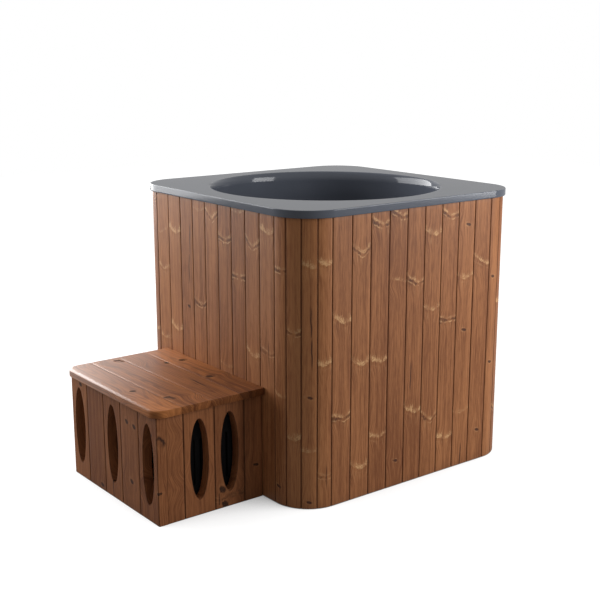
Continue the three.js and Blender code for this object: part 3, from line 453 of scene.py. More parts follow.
FRONT_MARKS = read_marks(
    "0.625 0.3 tuft, 0.303 0.25 wings",
    "0.848 0.15 deep, 0.468 0.2 tuft, 0.102 0.2 tuft",
    "0.934 0.3 wings, 0.463 0.3 tuft, 0.196 0.15 vee",
    "0.955 0.5 wings, 0.728 0.9 wisp, 0.095 0.1 pin",
    "0.718 0.4 wings, 0.390 -0.3 streak, 0.250 0.35 tuft",
    "0.872 0.3 tuft, 0.608 0.15 vee, 0.208 0.2 deep",
    "0.933 0.2 wings, 0.568 0.2 flat, 0.118 0.3 tuft",
    "0.897 0.2 pin, 0.700 0 vee, 0.516 0.05 pin, 0.200 0 wisp, 0.030 0.1 streak",
    "0.740 0.8 vee, 0.118 0.2 pin",
)
LEFT_MARKS = read_marks(
    "0.830 -0.5 wisp, 0.695 0 vee, 0.430 0 line",
    "0.840 0.1 tuft, 0.475 0.15 tuft",
    "0.835 0.5 streak, 0.730 0.3 streak, 0.586 0.1 pin",
    "0.940 0 wisp, 0.605 0.2 wings",
    "0.925 0.1 deep, 0.250 0 tuft",
    "0.862 0.15 wings, 0.410 0.3 wisp",
    "0.960 0 wisp, 0.748 0.1 flat",
    "0.860 0.05 deep, 0.482 0.2 tuft",
    "0.912 0.1 tuft, 0.515 0.2 cross",
)
CORNER_MARKS = read_marks(
    "0.808 0.3 flat, 0.378 0.4 wisp, 0.066 -0.3 pin",
    "0.604 0.15 wings, 0.238 0.1 tuft",
    "0.818 0.5 tuft, 0.640 0.2 streak, 0.540 0.3 streak, 0.390 0.1 pin, 0.200 0 line, 0.025 0 pin",
    "0.825 0.2 tuft, 0.493 -0.2 tuft, 0.112 0.3 cross",
)
STEP_MARKS = {
    "step_front_board_1": "0.350 0.2 spot",
    "step_front_board_2": "0.020 0.5 spot",
    "step_front_board_4": "0.305 -0.29 spot, 0.300 0.53 spot, 0.101 0.08 spot",
    "step_front_board_5": "0.291 1.2 branch, 0.111 1.05 pin, 0.304 0.3 pin",
    "step_right_board_1": "0.291 -1.7 branch, 0.111 -2 pin",
    "step_right_board_3": "0.066 -0.5 knot, 0.034 -0.75 cross, 0.012 -0.35 knot",
    "step_top_board_1": "-0.064 0.1 spot",
    "step_top_board_2": "0.272 0.6 branch, -0.203 -0.75 branch",
    "step_top_board_3": "0.150 0.95 knot, -0.120 0.2 streak",
    "step_top_board_4": "0.147 0.1 knot, -0.082 -0.45 knot",
}
STEP_MARKS = dict(zip(STEP_MARKS, read_marks(*STEP_MARKS.values())))
# These tones were fitted board by board to how light each board looks, so beside the wood's own tone they
# hold painted light: the corner staves are made lighter against the shade on the rounded corner.
BOARD_TONES_AND_PAINTED_LIGHT = {
    "cladding_front": [-0.05, 0.03, -0.14, -0.28, -0.16, -0.0, -0.04, 0.01, -0.08],
    "corner_staves_front_left": [0.02, 0.30, 0.24, 0.12],
    "cladding_left": [0.29, 0.25, 0.06, 0.07, 0.11, -0.06, -0.13, 0.02, 0.06],
    "step_front_board_": [0.1, -0.3, -0.06, 0.0, -0.16],
    "step_right_board_": [0.08, 0.16, 0.02, 0.08],
    "step_top_board_": [0.06, 0.02, -0.03, 0.02],
}
CLADDING_KINDS = ["wings", "deep", "flat", "tuft", "line", "wisp", "pin", "cross"]
STEP_KINDS = ["pin", "spot", "knot", "streak"]
MOST_MARKS = 6
draw = np.random.default_rng(41)


def drawn_marks(boards, length, kinds):
    """Marks for boards that are not seen: two or three a board, about 0.38 m apart, of drawn kinds."""
    kinds = draw.choice(kinds, (boards, 3))
    starts = draw.uniform(0.05, 0.4, (boards, 1)) * length
    heights = starts + np.arange(3) * draw.uniform(0.30, 0.44, (boards, 3))
    places = draw.uniform(-0.35, 0.45, (boards, 3))
    return [list(zip(*rows)) for rows in zip(heights.tolist(), places.tolist(), kinds.tolist())]


def mark_table(boards, half_width):
    """The marks of a row of boards as an array: height, metres across, and the five numbers of the kind."""
    far = (99.0, 0.0, "wisp")
    full = [marks + [far] * (MOST_MARKS - len(marks)) for marks in boards]
    rows = [[(height, place * half_width, *KINDS[kind]) for height, place, kind in marks] for marks in full]
    return np.array(rows)


print("marks on the front boards:", sum(map(len, FRONT_MARKS)))

# %% [markdown]
# ## The maps on a board's mesh
# A UV map gives every corner of a face its own pair of numbers, so the number of the board and the distance
# to the nearest knot can both jump from one face to the next. Numbers that belong to a whole face, such as
# the shape of the knot and whether the face is a rounded edge at a seam, darkened for dirt and wear and as
# painted shade, go into face attributes.

# %% Writing the maps
board_count = 0


def write_maps(piece, across, along, board, marks, tone, edge):
    """Each face takes the mark nearest to its middle. Its corners are then measured from that mark."""
    global board_count
    mesh = piece.data
    corner = np.empty(len(mesh.loops), np.int32)
    mesh.loops.foreach_get("vertex_index", corner)
    total = np.empty(len(mesh.polygons), np.int32)
    mesh.polygons.foreach_get("loop_total", total)
    face = np.repeat(np.arange(len(total)), total)
    first = np.cumsum(total) - total
    middle = np.add.reduceat(along[corner], first) / total
    beside = np.add.reduceat(across[corner], first) / total
    own = board[corner[first]]
    gap = np.abs(middle[:, None] - marks[own][..., 0]) + 0.4 * np.abs(beside[:, None] - marks[own][..., 1])
    nearest = marks[own, gap.argmin(axis=1)]
    grain = np.stack([across[corner] + board[corner] + board_count, along[corner]], axis=-1)
    knot = np.stack([across[corner], along[corner]], axis=-1) - nearest[face][:, 1::-1]
    for name, values in (("grain", grain), ("knot", knot)):
        mesh.uv_layers.new(name=name).data.foreach_set("uv", values.astype(np.float32).ravel())
    mark = np.concatenate([nearest[:, 5:7], tone[own][:, None]], axis=1)
    for name, values in (("whorl", nearest[:, 2:5]), ("mark", mark)):
        layer = mesh.attributes.new(name, "FLOAT_VECTOR", "FACE")
        layer.data.foreach_set("vector", values.astype(np.float32).ravel())
    mesh.attributes.new("edge", "FLOAT", "FACE").data.foreach_set("value", edge.astype(np.float32))
    board_count += len(marks)


print("maps: grain, knot, whorl, mark and edge")

# %% [markdown]
# ## A row of boards as one net
# The section of a board is a closed loop: its face with two rounded edges, two sides that meet the next
# board behind the open seam, and its back. The loop is carried along the board, and drawn in a little at
# both ends, so that the sawn ends have eased edges. All boards of a row are one array with four directions:
# board, ring along the board, point round the section, and x, y, z.

# %% Boards
MEETING = 0.00015
EDGE_DEPTH = 0.004
RING_STEP = 0.03


def section_loop(edge, gap, tongue, thickness, first_edge=None):
    """Points round a section: across is k half-widths plus c metres, and d is metres under the face."""
    turn = np.linspace(0, math.pi / 2, 5)
    face = np.linspace(-1, 1, 9)[1:-1]
    first_edge = first_edge or edge
    first = gap + first_edge * (1 - np.cos(turn))
    last = gap + edge * (1 - np.cos(turn))
    inset = -face * np.where(face < 0, first[-1], last[-1])
    k = np.concatenate([[0], -np.ones(8), face, np.ones(8)])
    c = np.concatenate([[0, MEETING, MEETING, gap], first, inset, -last[::-1], [-gap, -MEETING, -MEETING]])
    side = [tongue - 0.0004, tongue, thickness]
    sink = 1 - np.sin(turn)
    d = np.concatenate([[thickness], side[::-1], first_edge * sink, 0 * face, edge * sink[::-1], side])
    return k, c, d


def board_row(name, left, right, along, ease, section, place, marks, tone, wear=1.0):
    """Boards between left and right, carried along. Place turns across, depth and along into x, y, z."""
    k, c, d = section
    left = left.reshape(len(marks), -1)
    right = right.reshape(len(marks), -1)
    half = ((right - left) / 2 + 0 * along)[..., None]
    middle = ((right + left) / 2 + 0 * along)[..., None]
    across = np.clip(k * half + c, ease[:, None] - half, half - ease[:, None])
    thickness = d.max()
    depth = np.clip(d, ease[:, None], thickness - ease[:, None]) + 0 * across
    run = along[:, None] + 0 * across
    points = place(middle + across, depth, run)
    boards, rings, columns = across.shape
    start = np.arange(boards)[:, None, None] * rings * columns
    sides = (net_faces(rings, columns) + start).reshape(-1, 4)
    loop = np.arange(columns)
    ends = (np.stack([loop[::-1], loop + (rings - 1) * columns]) + start).reshape(-1, columns)
    piece = add_mesh(name, points, sides.tolist() + ends.tolist())
    numbers = np.repeat(np.arange(boards), rings * columns)
    # Rounded edge faces, darkened in the finish: part dirt and wear, part painted shade in the seams.
    wear_and_seam_shade = (np.abs(np.roll(d, -1) - d) > 0) & (np.maximum(d, np.roll(d, -1)) < EDGE_DEPTH)
    edge = wear * np.concatenate([np.tile(wear_and_seam_shade, boards * (rings - 1)), np.zeros(len(ends))])
    unrolled = across + np.sign(k) * depth
    write_maps(piece, unrolled.ravel(), run.ravel(), numbers, marks, tone, edge)
    return piece


def spaced(start, end, step, ease):
    """Places along a board about one step apart, with two more rings at each eased end, and their draw-in."""
    inner = np.linspace(start + ease, end - ease, max(3, round((end - start) / step)))
    along = np.concatenate([[start, start + ease * 0.3], inner, [end - ease * 0.3, end]])
    return along, np.concatenate([[ease, ease * 0.3], 0 * inner, [ease * 0.3, ease]])


print("section of a cladding board:", len(section_loop(0.002, 0.0006, 0.009, 0.02)[0]), "points")

# %% [markdown]
# ## The box of upright boards
# Nine boards stand on each side of the tub and four narrow staves close each rounded corner. They are
# counted round the box: a place is a distance along the outside, a depth and a height. A straight run is
# followed by a quarter circle, four times, so one formula bends flat boards and staves alike.

# %% The way round the box
STRAIGHT = 0.730
CORNER = 0.135
QUARTER = STRAIGHT + CORNER * math.pi / 2
SEAM_SHIFT = -0.007
CLADDING, CLADDING_LENGTH = 0.020, 0.99
CLADDING_FOOT, CLADDING_HEAD = 0.002, 0.996


def round_the_box(distance, depth, height):
    """Straight along one side, then round its corner by the rest over the radius, all turned by the side."""
    side = np.floor(distance / QUARTER)
    run = distance - side * QUARTER
    turn = np.maximum(0, run - STRAIGHT) / CORNER
    reach = CORNER - depth
    x = np.minimum(run, STRAIGHT) - STRAIGHT / 2 + reach * np.sin(turn)
    y = -STRAIGHT / 2 - reach * np.cos(turn)
    angle = side * math.pi / 2
    cos, sin = np.cos(angle), np.sin(angle)
    return np.stack([x * cos - y * sin, x * sin + y * cos, height], axis=-1)


print("way round the box:", round(4 * QUARTER, 3), "m")

# %% Cladding boards and corner staves
SIDES = ["front", "right", "back", "left"]
CORNERS = ["front_right", "back_right", "back_left", "front_left"]
height, ease = spaced(CLADDING_FOOT, CLADDING_HEAD, RING_STEP, 0.002)
section = section_loop(0.0022, 0.0008, 0.008, CLADDING)
cladding = {}
for index, (side, corner) in enumerate(zip(SIDES, CORNERS)):
    start = SEAM_SHIFT + index * QUARTER
    runs = [
        ("cladding_" + side, start, STRAIGHT, 9, {"front": FRONT_MARKS, "left": LEFT_MARKS}.get(side)),
        ("corner_staves_" + corner, start + STRAIGHT, QUARTER - STRAIGHT, 4,
         {"front_left": CORNER_MARKS}.get(corner)),
    ]
    for name, first, width, count, marks in runs:
        seams = first + width / count * np.arange(count + 1)
        marks = mark_table(marks or drawn_marks(count, CLADDING_LENGTH, CLADDING_KINDS), width / count / 2)
        tone = np.array(BOARD_TONES_AND_PAINTED_LIGHT.get(name, draw.uniform(-0.16, 0.16, count)))
        set_in = draw.uniform(0, 0.0004, count)[:, None, None]
        cladding[name] = board_row(
            name + "_boards", seams[:-1], seams[1:], height, ease, section,
            lambda s, d, z: round_the_box(s, d + set_in, z), marks, tone,
        )
        settle(cladding[name], "tub", [name], oiled_boards)
print("runs of boards:", len(cladding))

# %% [markdown]
# ## Holes for the hoses and the drain pipe
# The left run has three round holes behind the step. A hole is the one thing a net of boards can't have, so
# three closed tubes are made and taken away with a Boolean modifier, which is then applied.

# %% Cutting round holes
def turned_net(profile, origin, axis, columns=48, closed=False):
    """A profile of radius and distance, turned about an axis. Open ends are capped, a closed one is a ring.
    A third number in a row draws that ring in to a hexagon: the flat's distance grows to the corner's."""
    rows = np.array([(*row, 0)[:3] for row in profile], float)
    radius, distance, hexed = rows.T[:, :, None]
    axis = np.array(axis, float)
    side = np.cross(axis, np.roll(np.eye(3), 1, axis=0)[np.abs(axis).argmax()])
    side = side / np.linalg.norm(side)
    other = np.cross(axis, side)
    turn = full_turn(columns)
    flat = math.cos(math.pi / 6) / np.cos(np.mod(turn, math.pi / 3) - math.pi / 6)
    radius = radius * np.where(hexed > 0, flat, 1)
    spoke = np.cos(turn)[:, None] * side + np.sin(turn)[:, None] * other
    return closed_net(np.array(origin) + distance[..., None] * axis + radius[..., None] * spoke, closed)


def joined(nets):
    """Several nets as one: their points in a row, and their faces counted on from each net's start."""
    starts = np.cumsum([0] + [len(points) for points, _ in nets]).tolist()
    faces = [[int(k) + start for k in face] for (_, part), start in zip(nets, starts) for face in part]
    return np.concatenate([points for points, _ in nets]), faces


def cut_away(piece, nets, crossing=False):
    """Takes closed nets away from a piece with a Boolean modifier, and keeps the result as its mesh.
    Crossing is for a piece whose own nets run through each other."""
    rods = add_mesh("rods", *joined(nets))
    cut = piece.modifiers.new("holes", "BOOLEAN")
    cut.operation = "DIFFERENCE"
    cut.solver = "EXACT"
    cut.use_self = crossing
    cut.object = rods
    shown = piece.evaluated_get(bpy.context.evaluated_depsgraph_get())
    mesh = bpy.data.meshes.new_from_object(shown)
    piece.modifiers.clear()
    piece.data = mesh
    mesh.set_sharp_from_angle(angle=math.radians(CREASE))
    bpy.data.objects.remove(rods)


def cut_holes(piece, holes):
    """Takes round rods away from a piece. A hole is its radius, its first point, its axis and its length."""
    cut_away(piece, [turned_net([(r, 0), (r, length)], origin, axis) for r, origin, axis, length in holes])


DRAIN_X, DRAIN_Y, PIPE_Z = -0.120, 0.130, 0.0826
HOSES = {"suction": -0.144, "return": -0.024}
HOSE_Z, HOSE_BORE = 0.230, 0.0163
LEVEL, BACKWARD, UPRIGHT = (1, 0, 0), (-1, 0, 0), (0, 0, 1)
hose_holes = [(0.0223, (-0.52, y, HOSE_Z), LEVEL, 0.06) for y in HOSES.values()]
cut_holes(cladding["cladding_left"], [(0.023, (-0.52, DRAIN_Y, PIPE_Z), LEVEL, 0.06)] + hose_holes)
print("faces of the left run:", len(cladding["cladding_left"].data.polygons))

# %% [markdown]
# ## The step
# The step is a box of thicker boards with four planks on top, open towards the tub. Five of its boards have
# an oval slot, for the air that the chiller behind them needs. The plain boards are one-board rows.

# %% Plain boards of the step
STEP_WALL, STEP_HEAD, STEP_LENGTH = 0.034, 0.3687, 0.37
STEP_EDGE, STEP_GAP, STEP_TONGUE = 0.0025, 0.0006, 0.012
STEP_RIGHT, STEP_LEFT, STEP_FRONT, STEP_REAR = -0.286, 0.306, -0.910, -0.5005
front_seams = np.linspace(0, STEP_LEFT - STEP_RIGHT, 6)
side_seams = np.cumsum([0, 0.064, 0.1184, 0.1184, 0.0744])
rear_seams = side_seams[-1] - side_seams[::-1]


def front_place(s, d, z):
    """Counted from the left end of the step's front."""
    return np.stack([STEP_FRONT + d, STEP_LEFT - s, z], axis=-1)


def right_place(s, d, z):
    """Counted backwards from the step's front, on its right."""
    return np.stack([STEP_REAR - side_seams[-1] + s, STEP_RIGHT + d, z], axis=-1)


def left_place(s, d, z):
    """Counted forwards from the tub, on the step's left."""
    return np.stack([STEP_REAR - s, STEP_LEFT - d, z], axis=-1)


STEP_RUNS = [
    ("step_front_board_", front_seams, front_place, (1, 3, 5)),
    ("step_right_board_", side_seams, right_place, (2, 3)),
    ("step_left_board_", rear_seams, left_place, ()),
]
height, ease = spaced(0, STEP_HEAD, RING_STEP, STEP_EDGE)
section = section_loop(STEP_EDGE, STEP_GAP, STEP_TONGUE, STEP_WALL)
flush = section_loop(STEP_EDGE, STEP_GAP, STEP_TONGUE, STEP_WALL, 0.0003)


def plain_board(name, edges, place, marks, tone):
    """A row of one board. The narrow one at the step's front corner has no rounded edge there."""
    shape = flush if name == "step_right_board_1" else section
    return board_row(name + "_plank", edges[:1], edges[1:], height, ease, shape, place, marks, tone)


def raise_step(make, with_slot):
    """Makes the step's plain boards or its slotted ones, with the marks that are known or drawn."""
    for prefix, seams, place, slotted in STEP_RUNS:
        tones = np.array(BOARD_TONES_AND_PAINTED_LIGHT.get(prefix, draw.uniform(-0.15, 0.15, 5)))
        for number in range(1, len(seams)):
            if (number in slotted) != with_slot:
                continue
            name = prefix + str(number)
            edges = seams[number - 1:number + 1]
            known = STEP_MARKS.get(name)
            known = [known] if known else drawn_marks(1, STEP_LENGTH, STEP_KINDS)
            marks = mark_table(known, np.diff(edges)[0] / 2)
            piece = make(name, edges, place, marks, tones[number - 1:number])
            settle(piece, "step", [name], step_boards)


raise_step(plain_board, False)
print("boards so far:", board_count)

# %% [markdown]
# ## Boards with an oval slot
# A slotted board is a ring: it has a hole through it, so its net closes in both directions, like a tyre.
# One direction runs round the slot. The other runs over the face from the slot to the outline, over the
# rounded edge, down the side, back under the board, and up through the slot. Each point lies between an
# ellipse and the board's rectangle, and the four corners of the rectangle fall on columns of the net.

# %% Slotted boards of the step
SLOT_WIDTH, SLOT_LENGTH, SLOT_MIDDLE = 0.068, 0.277, 0.1945


def slotted_board(name, edges, place, marks, tone):
    """Points mix an ellipse, grown at its rounded edge, and a rectangle, drawn in at its own."""
    left, right = edges
    columns = 128
    turn = full_turn(columns)
    quarter = np.linspace(0, math.pi / 2, 6)
    edge, gap = STEP_EDGE, STEP_GAP
    out = np.linspace(0, 1, 8)
    soft = edge * (1 - np.sin(quarter[1:]))
    share = np.concatenate([out, np.ones(8), [0, 0, 0, 0], 0 * quarter[:-1]])
    swell = edge * (1 - np.cos(quarter[:-1]))
    grow = np.concatenate([np.full(8, edge), np.zeros(8), [edge / 2, 0, 0, 0], swell])
    inset = np.concatenate([np.full(8, gap + edge), gap + soft, [gap, MEETING, MEETING], np.zeros(9)])
    side = [STEP_TONGUE, STEP_TONGUE + 0.0004, STEP_WALL]
    depth = np.concatenate([
        0 * out, edge - edge * np.cos(quarter[1:]), side,
        [STEP_WALL, STEP_WALL - edge / 2, 0.022, 0.012], edge * (1 - np.sin(quarter[:-1])),
    ])
    half = (right - left) / 2
    wide = half - inset[:, None]
    low = inset[:, None] - SLOT_MIDDLE
    high = STEP_HEAD - SLOT_MIDDLE - inset[:, None]
    beat = np.mod(turn / (math.pi / 2) + 0.5, 4)
    to_side = np.interp(beat, [0, 1, 2, 3, 4], [1, 1, -1, -1, 1])
    to_top = np.interp(beat, [0, 1, 2, 3, 4], [0, 1, 1, 0, 0])
    box_x = to_side * wide
    box_z = low + (high - low) * to_top
    slot_x = (SLOT_WIDTH / 2 + grow[:, None]) * np.cos(turn)
    slot_z = (SLOT_LENGTH / 2 + grow[:, None]) * np.sin(turn)
    across = slot_x + (box_x - slot_x) * share[:, None]
    along = SLOT_MIDDLE + slot_z + (box_z - slot_z) * share[:, None]
    deep = depth[:, None] + 0 * across
    points = place((left + right) / 2 + across, deep, along)
    piece = add_mesh(name + "_slotted", *closed_net(points, ring=True))
    # Rounded edge faces, darkened in the finish: part dirt and wear, part painted shade in the seams.
    wear_and_seam_shade = (np.abs(np.roll(depth, -1) - depth) > 0) & (np.maximum(depth, np.roll(depth, -1)) < EDGE_DEPTH)
    numbers = np.zeros(across.size, int)
    write_maps(piece, (across + deep * np.cos(turn)).ravel(), (along + deep * np.sin(turn)).ravel(), numbers,
               marks, tone, np.repeat(wear_and_seam_shade, columns))
    return piece


def retone(piece, rule):
    """Gives the faces of a board another tone, by a rule of their direction, middle and old tone."""
    count = len(piece.data.polygons)
    normal, middle, values = (np.empty(count * 3, np.float32) for _ in range(3))
    piece.data.polygons.foreach_get("normal", normal)
    piece.data.polygons.foreach_get("center", middle)
    layer = piece.data.attributes["mark"].data
    layer.foreach_get("vector", values)
    values = values.reshape(-1, 3)
    values[:, 2] = rule(normal.reshape(-1, 3), middle.reshape(-1, 3), values[:, 2])
    layer.foreach_set("vector", values.ravel())


raise_step(slotted_board, True)
corner_board = bpy.data.objects["step_front_board_5_slotted"]
retone(
    corner_board,
    lambda normal, middle, tone: np.where(normal[:, 1] < -0.7, BOARD_TONES_AND_PAINTED_LIGHT["step_right_board_"][0], tone),
)
print("faces of one slotted board:", len(corner_board.data.polygons))

# %% [markdown]
# ## The planks on top
# The four planks lie along the tub. The outer one has two rounded corners, so its outer edge is not
# straight: near its ends it follows a quarter circle. The row formula takes a left and a right edge for
# every ring, and the rings are closer together where the edge turns. The coat of oil is a painted sheen:
# it is laid on whole at the far outer corner and thinned out towards the tub, so it shines only there.

# %% Top planks
PLANK_SEAMS = np.array([-0.924, -0.82425, -0.71225, -0.60025, -0.5005])
PLANK_TOP, PLANK = 0.393, 0.024
# Painted light and shade along the planks: each plank's tone grows paler towards its far end and darker
# towards its near end, by these slopes per metre.
PLANK_PAINTED_LIGHT_SLOPES = (0.0, 0.7, 0.8, 1.2)
PLANK_START, PLANK_END, PLANK_ROUND = -0.302, 0.322, 0.042
along, ease = spaced(PLANK_START, PLANK_END, RING_STEP, STEP_EDGE)
bow = PLANK_ROUND * np.sin(np.linspace(0.05, 1.38, 12))
extra = np.concatenate([PLANK_START + PLANK_ROUND - bow, PLANK_END - PLANK_ROUND + bow])
order = np.argsort(np.concatenate([along, extra]))
along = np.concatenate([along, extra])[order]
ease = np.concatenate([ease, 0 * extra])[order]
sections = [section_loop(0.0012, 0.0004, 0.012, PLANK, edge) for edge in (0.008, None, None, None)]
middle = (PLANK_START + PLANK_END) / 2
past = np.maximum(0, np.abs(along - middle) - (PLANK_END - PLANK_START) / 2 + PLANK_ROUND)
turned_in = PLANK_ROUND - np.sqrt(np.maximum(0, PLANK_ROUND ** 2 - past ** 2))
for number in range(1, 5):
    left = PLANK_SEAMS[number - 1] + turned_in * (number == 1)
    right = PLANK_SEAMS[number] + 0 * along
    marks = mark_table([STEP_MARKS[f"step_top_board_{number}"]], 0.055)
    piece = board_row(
        f"step_top_board_{number}_plank", left, right, along, ease, sections[number - 1],
        lambda x, d, y: np.stack([x, y, PLANK_TOP - d], axis=-1), marks,
        np.array(BOARD_TONES_AND_PAINTED_LIGHT["step_top_board_"][number - 1:number]), 0.0,
    )
    # Painted light and shade: the tone grows with the distance along the plank.
    retone(piece, lambda normal, middle, tone: tone + middle[:, 1] * PLANK_PAINTED_LIGHT_SLOPES[number - 1])
    settle(piece, "step", [f"step_top_board_{number}"], step_planks)
print("top planks reach from", PLANK_START, "to", PLANK_END)

# %% [markdown]
# ## Wear and smudges, as one group
# Moulded, painted and metal parts are never even. Two clouds of noise, one broad and one fine, serve all of
# them: the broad one moves the gloss and a little of the colour, the fine one is the grain of the surface.

# %% The handled group
handled, source, result = new_group(
    "handled surface",
    {"Place": "Vector", "Broad": "Float", "Fine": "Float"},
    {"Smudge": "Float", "Grit": "Float"},
)
for scale, detail, output in (("Broad", 3.0, "Smudge"), ("Fine", 2.0, "Grit")):
    plug(handled, cloud(handled, source["Place"], source[scale], detail), result[output])


def handled_finish(name, wear_and_seam_shade, clean, gloss, broad, fine, bump, **constants):
    """A smooth finish: the smudge mixes two colours and moves the gloss, and the grit is embossed."""
    material, tree, shader = new_finish(name, **constants)
    outputs = use_group(tree, handled, Place=place_of(tree), Broad=broad, Fine=fine)
    smudge, grit = (Shade(tree, socket) for socket in outputs)
    plug(tree, blend(tree, smudge.ramp(0.3, 0.7), paint(*wear_and_seam_shade), paint(*clean)), shader["Base Color"])
    plug(tree, smudge * gloss[1] + grit * 0.06 + gloss[0], shader["Roughness"])
    emboss(tree, grit, 0.3, bump, shader["Normal"])
    return material


basin_grey = handled_finish(
    "basin grey", (88, 92, 102), (83, 87, 96), (0.05, 0.03), 3.5, 420, 0.00004, Specular_IOR_Level=0.23,
)
grey_plastic = handled_finish("grey plastic", (92, 95, 98), (84, 87, 90), (0.32, 0.2), 30, 900, 0.0001)
black_rubber = handled_finish("black rubber", (32, 32, 33), (26, 26, 27), (0.55, 0.25), 40, 1200, 0.0002)
brass = handled_finish("brass", (190, 152, 92), (205, 170, 108), (0.22, 0.2), 45, 800, 0.0001, Metallic=1.0)
steel = handled_finish("steel", (168, 170, 172), (188, 190, 192), (0.2, 0.2), 40, 700, 0.0001, Metallic=1.0)
red_coat = handled_finish("red coat", (150, 26, 24), (168, 32, 28), (0.35, 0.15), 60, 900, 0.0002)
black_coat = handled_finish(
    "black powder coat", (42, 42, 43), (34, 34, 35), (0.7, 0.15), 12, 1600, 0.0003, Specular_IOR_Level=0.02,
)
foam = handled_finish("insulating foam", (222, 206, 160), (232, 218, 178), (0.8, 0.1), 20, 260, 0.003)
print("finishes:", basin_grey.name, grey_plastic.name, black_rubber.name, brass.name, steel.name)

# %% [markdown]
# ## Rim and basin
# The shell is one moulding: a round basin, a soft lip, a flat deck, and a skirt that hangs over the boards.
# Its plan changes from a circle to a square with round corners. Seen from the centre, both are a radius for
# each direction, so the deck can blend one into the other. All rings share the same directions, and the net
# goes over the top and back underneath as one skin.

# %% Rings of the shell
SHELL_COLUMNS = 384
TURN = full_turn(SHELL_COLUMNS)


def square_ring(reach, corner):
    """Distance from the centre to a square with round corners: flat, then the far side of the arc."""
    lean = np.abs(np.mod(TURN + math.pi / 4, math.pi / 2) - math.pi / 4)
    p = reach - corner
    flat = reach / np.cos(lean)
    arc = p * (np.cos(lean) + np.sin(lean))
    arc = arc + np.sqrt(np.maximum(0, corner ** 2 - p ** 2 * (1 - np.sin(2 * lean))))
    return np.where(reach * np.tan(lean) <= p, flat, arc)


def arc_rings(centre, radius, first, last, count, tall=1.0):
    """Rings on an arc in the upright section, as pairs of radius and height. Tall stretches the arc."""
    angle = np.radians(np.linspace(first, last, count))
    return list(zip(centre[0] + radius * np.cos(angle), centre[1] + radius * tall * np.sin(angle)))


LEAN = 3.5
FILLET = (0.30673, 0.1969)
MOUTH, LIP_RADIUS, LIP_Z = 0.4153, 0.4303, 0.991
BASIN_FLOOR, UNDER_FLOOR, DECK = 0.1369, 0.1309, 1.006
RIM_HALF, RIM_INSIDE, RIM_FOOT, RIM_HUB = 0.5083, 0.5023, 0.9803, 0.365


def wall_rings(heights, offset):
    """Circle rings of the basin wall, which leans out."""
    return [(MOUTH + offset - (LIP_Z - h) * math.tan(math.radians(LEAN)), h) for h in heights]


inside = [(r, BASIN_FLOOR) for r in (0.0005, 0.06, 0.14, 0.22, 0.28)]
inside += arc_rings(FILLET, 0.060, -90, -LEAN, 13)
inside += wall_rings(np.linspace(0.21, 0.94, 18), 0)
inside += arc_rings((LIP_RADIUS, 0.966), 0.0163, 180, 90, 15, 0.040 / 0.0163)
under = arc_rings((LIP_RADIUS, LIP_Z), 0.009, 90, 180, 7) + wall_rings(np.linspace(0.97, 0.21, 12), 0.006)
under += arc_rings(FILLET, 0.066, -LEAN, -90, 9) + [(r, UNDER_FLOOR) for r in (0.22, 0.1, 0.0005)]
print("rings inside:", len(inside), "and underneath:", len(under))

# %% The shell as one skin
skirt = arc_rings((0.5053, 1.003), 0.003, 90, 0, 9) + [(RIM_HALF, h) for h in (1.0025, 0.996, 0.989, 0.984)]
skirt += arc_rings((0.5066, 0.982), 0.0017, 0, -90, 5) + [(0.5028, RIM_FOOT), (RIM_INSIDE, 0.9808)]
skirt += [(RIM_INSIDE, h) for h in (0.99, 0.999)]
rings = [np.full(SHELL_COLUMNS, r) for r, _ in inside]
heights = [h for _, h in inside]
edge_ring = square_ring(0.5053, 0.5053 - RIM_HUB)
for share in (0.04, 0.2, 0.5, 0.8, 0.96, 0.995):
    rings.append(rings[len(inside) - 1] * (1 - share) + edge_ring * share)
    heights.append(DECK)
rings += [square_ring(r, r - RIM_HUB) for r, _ in skirt]
heights += [h for _, h in skirt]
inner = square_ring(0.5017, 0.5017 - RIM_HUB)
for share in (0.0, 0.5, 0.95):
    rings.append(inner * (1 - share) + LIP_RADIUS * share)
    heights.append(1.0)
rings += [np.full(SHELL_COLUMNS, r) for r, _ in under]
heights += [h for _, h in under]
radius = np.array(rings)
level = np.array(heights)[:, None] + 0 * radius
points = np.stack([radius * np.cos(TURN), radius * np.sin(TURN), level], axis=-1)
shell = add_mesh("rim_and_basin", *closed_net(points))
hose_holes = [(HOSE_BORE, (-0.48, y, HOSE_Z), LEVEL, 0.16) for y in HOSES.values()]
cut_holes(shell, [(0.0203, (DRAIN_X, DRAIN_Y, 0.10), UPRIGHT, 0.06)] + hose_holes)
settle(shell, "tub", ["tub_shell"], basin_grey)
print("faces of the shell:", len(shell.data.polygons))

# %% [markdown]
# ## Tubes, bars and rods
# The plumbing behind the step needs three more nets. A tube follows a line and comes back inside itself, so
# it has a bore. A bar is a rounded rectangle carried along a line, wider or thinner on the way. A rod has
# any section, and is only there to be taken away: it leaves a slot.

# %% Tubes, bars and rods
def tube_along(path, heading, outer, inner, columns=36):
    """Circles square to a path in the xz plane: out with the outer radius and back with the inner one."""
    side = np.stack([-heading[:, 2], 0 * heading[:, 0], heading[:, 0]], axis=-1)
    turn = full_turn(columns)
    spoke = np.cos(turn)[:, None] * side[:, None] + np.sin(turn)[:, None] * np.array([0, 1.0, 0])
    skin = path[:, None] + outer[:, None, None] * spoke
    bore = path[:, None] + inner * spoke
    return closed_net(np.concatenate([skin, bore[::-1]]), ring=True)


def bar_net(middle, side, up, wide, tall):
    """A rectangle with round corners, x to the fourth plus y to the fourth is one, scaled at every ring."""
    turn = full_turn(24)
    across = np.sign(np.cos(turn)) * np.sqrt(np.abs(np.cos(turn)))
    over = np.sign(np.sin(turn)) * np.sqrt(np.abs(np.sin(turn)))
    points = middle[:, None] + (wide[:, None] * across)[..., None] * np.array(side, float)
    return closed_net(points + (tall[:, None] * over)[..., None] * np.array(up, float))


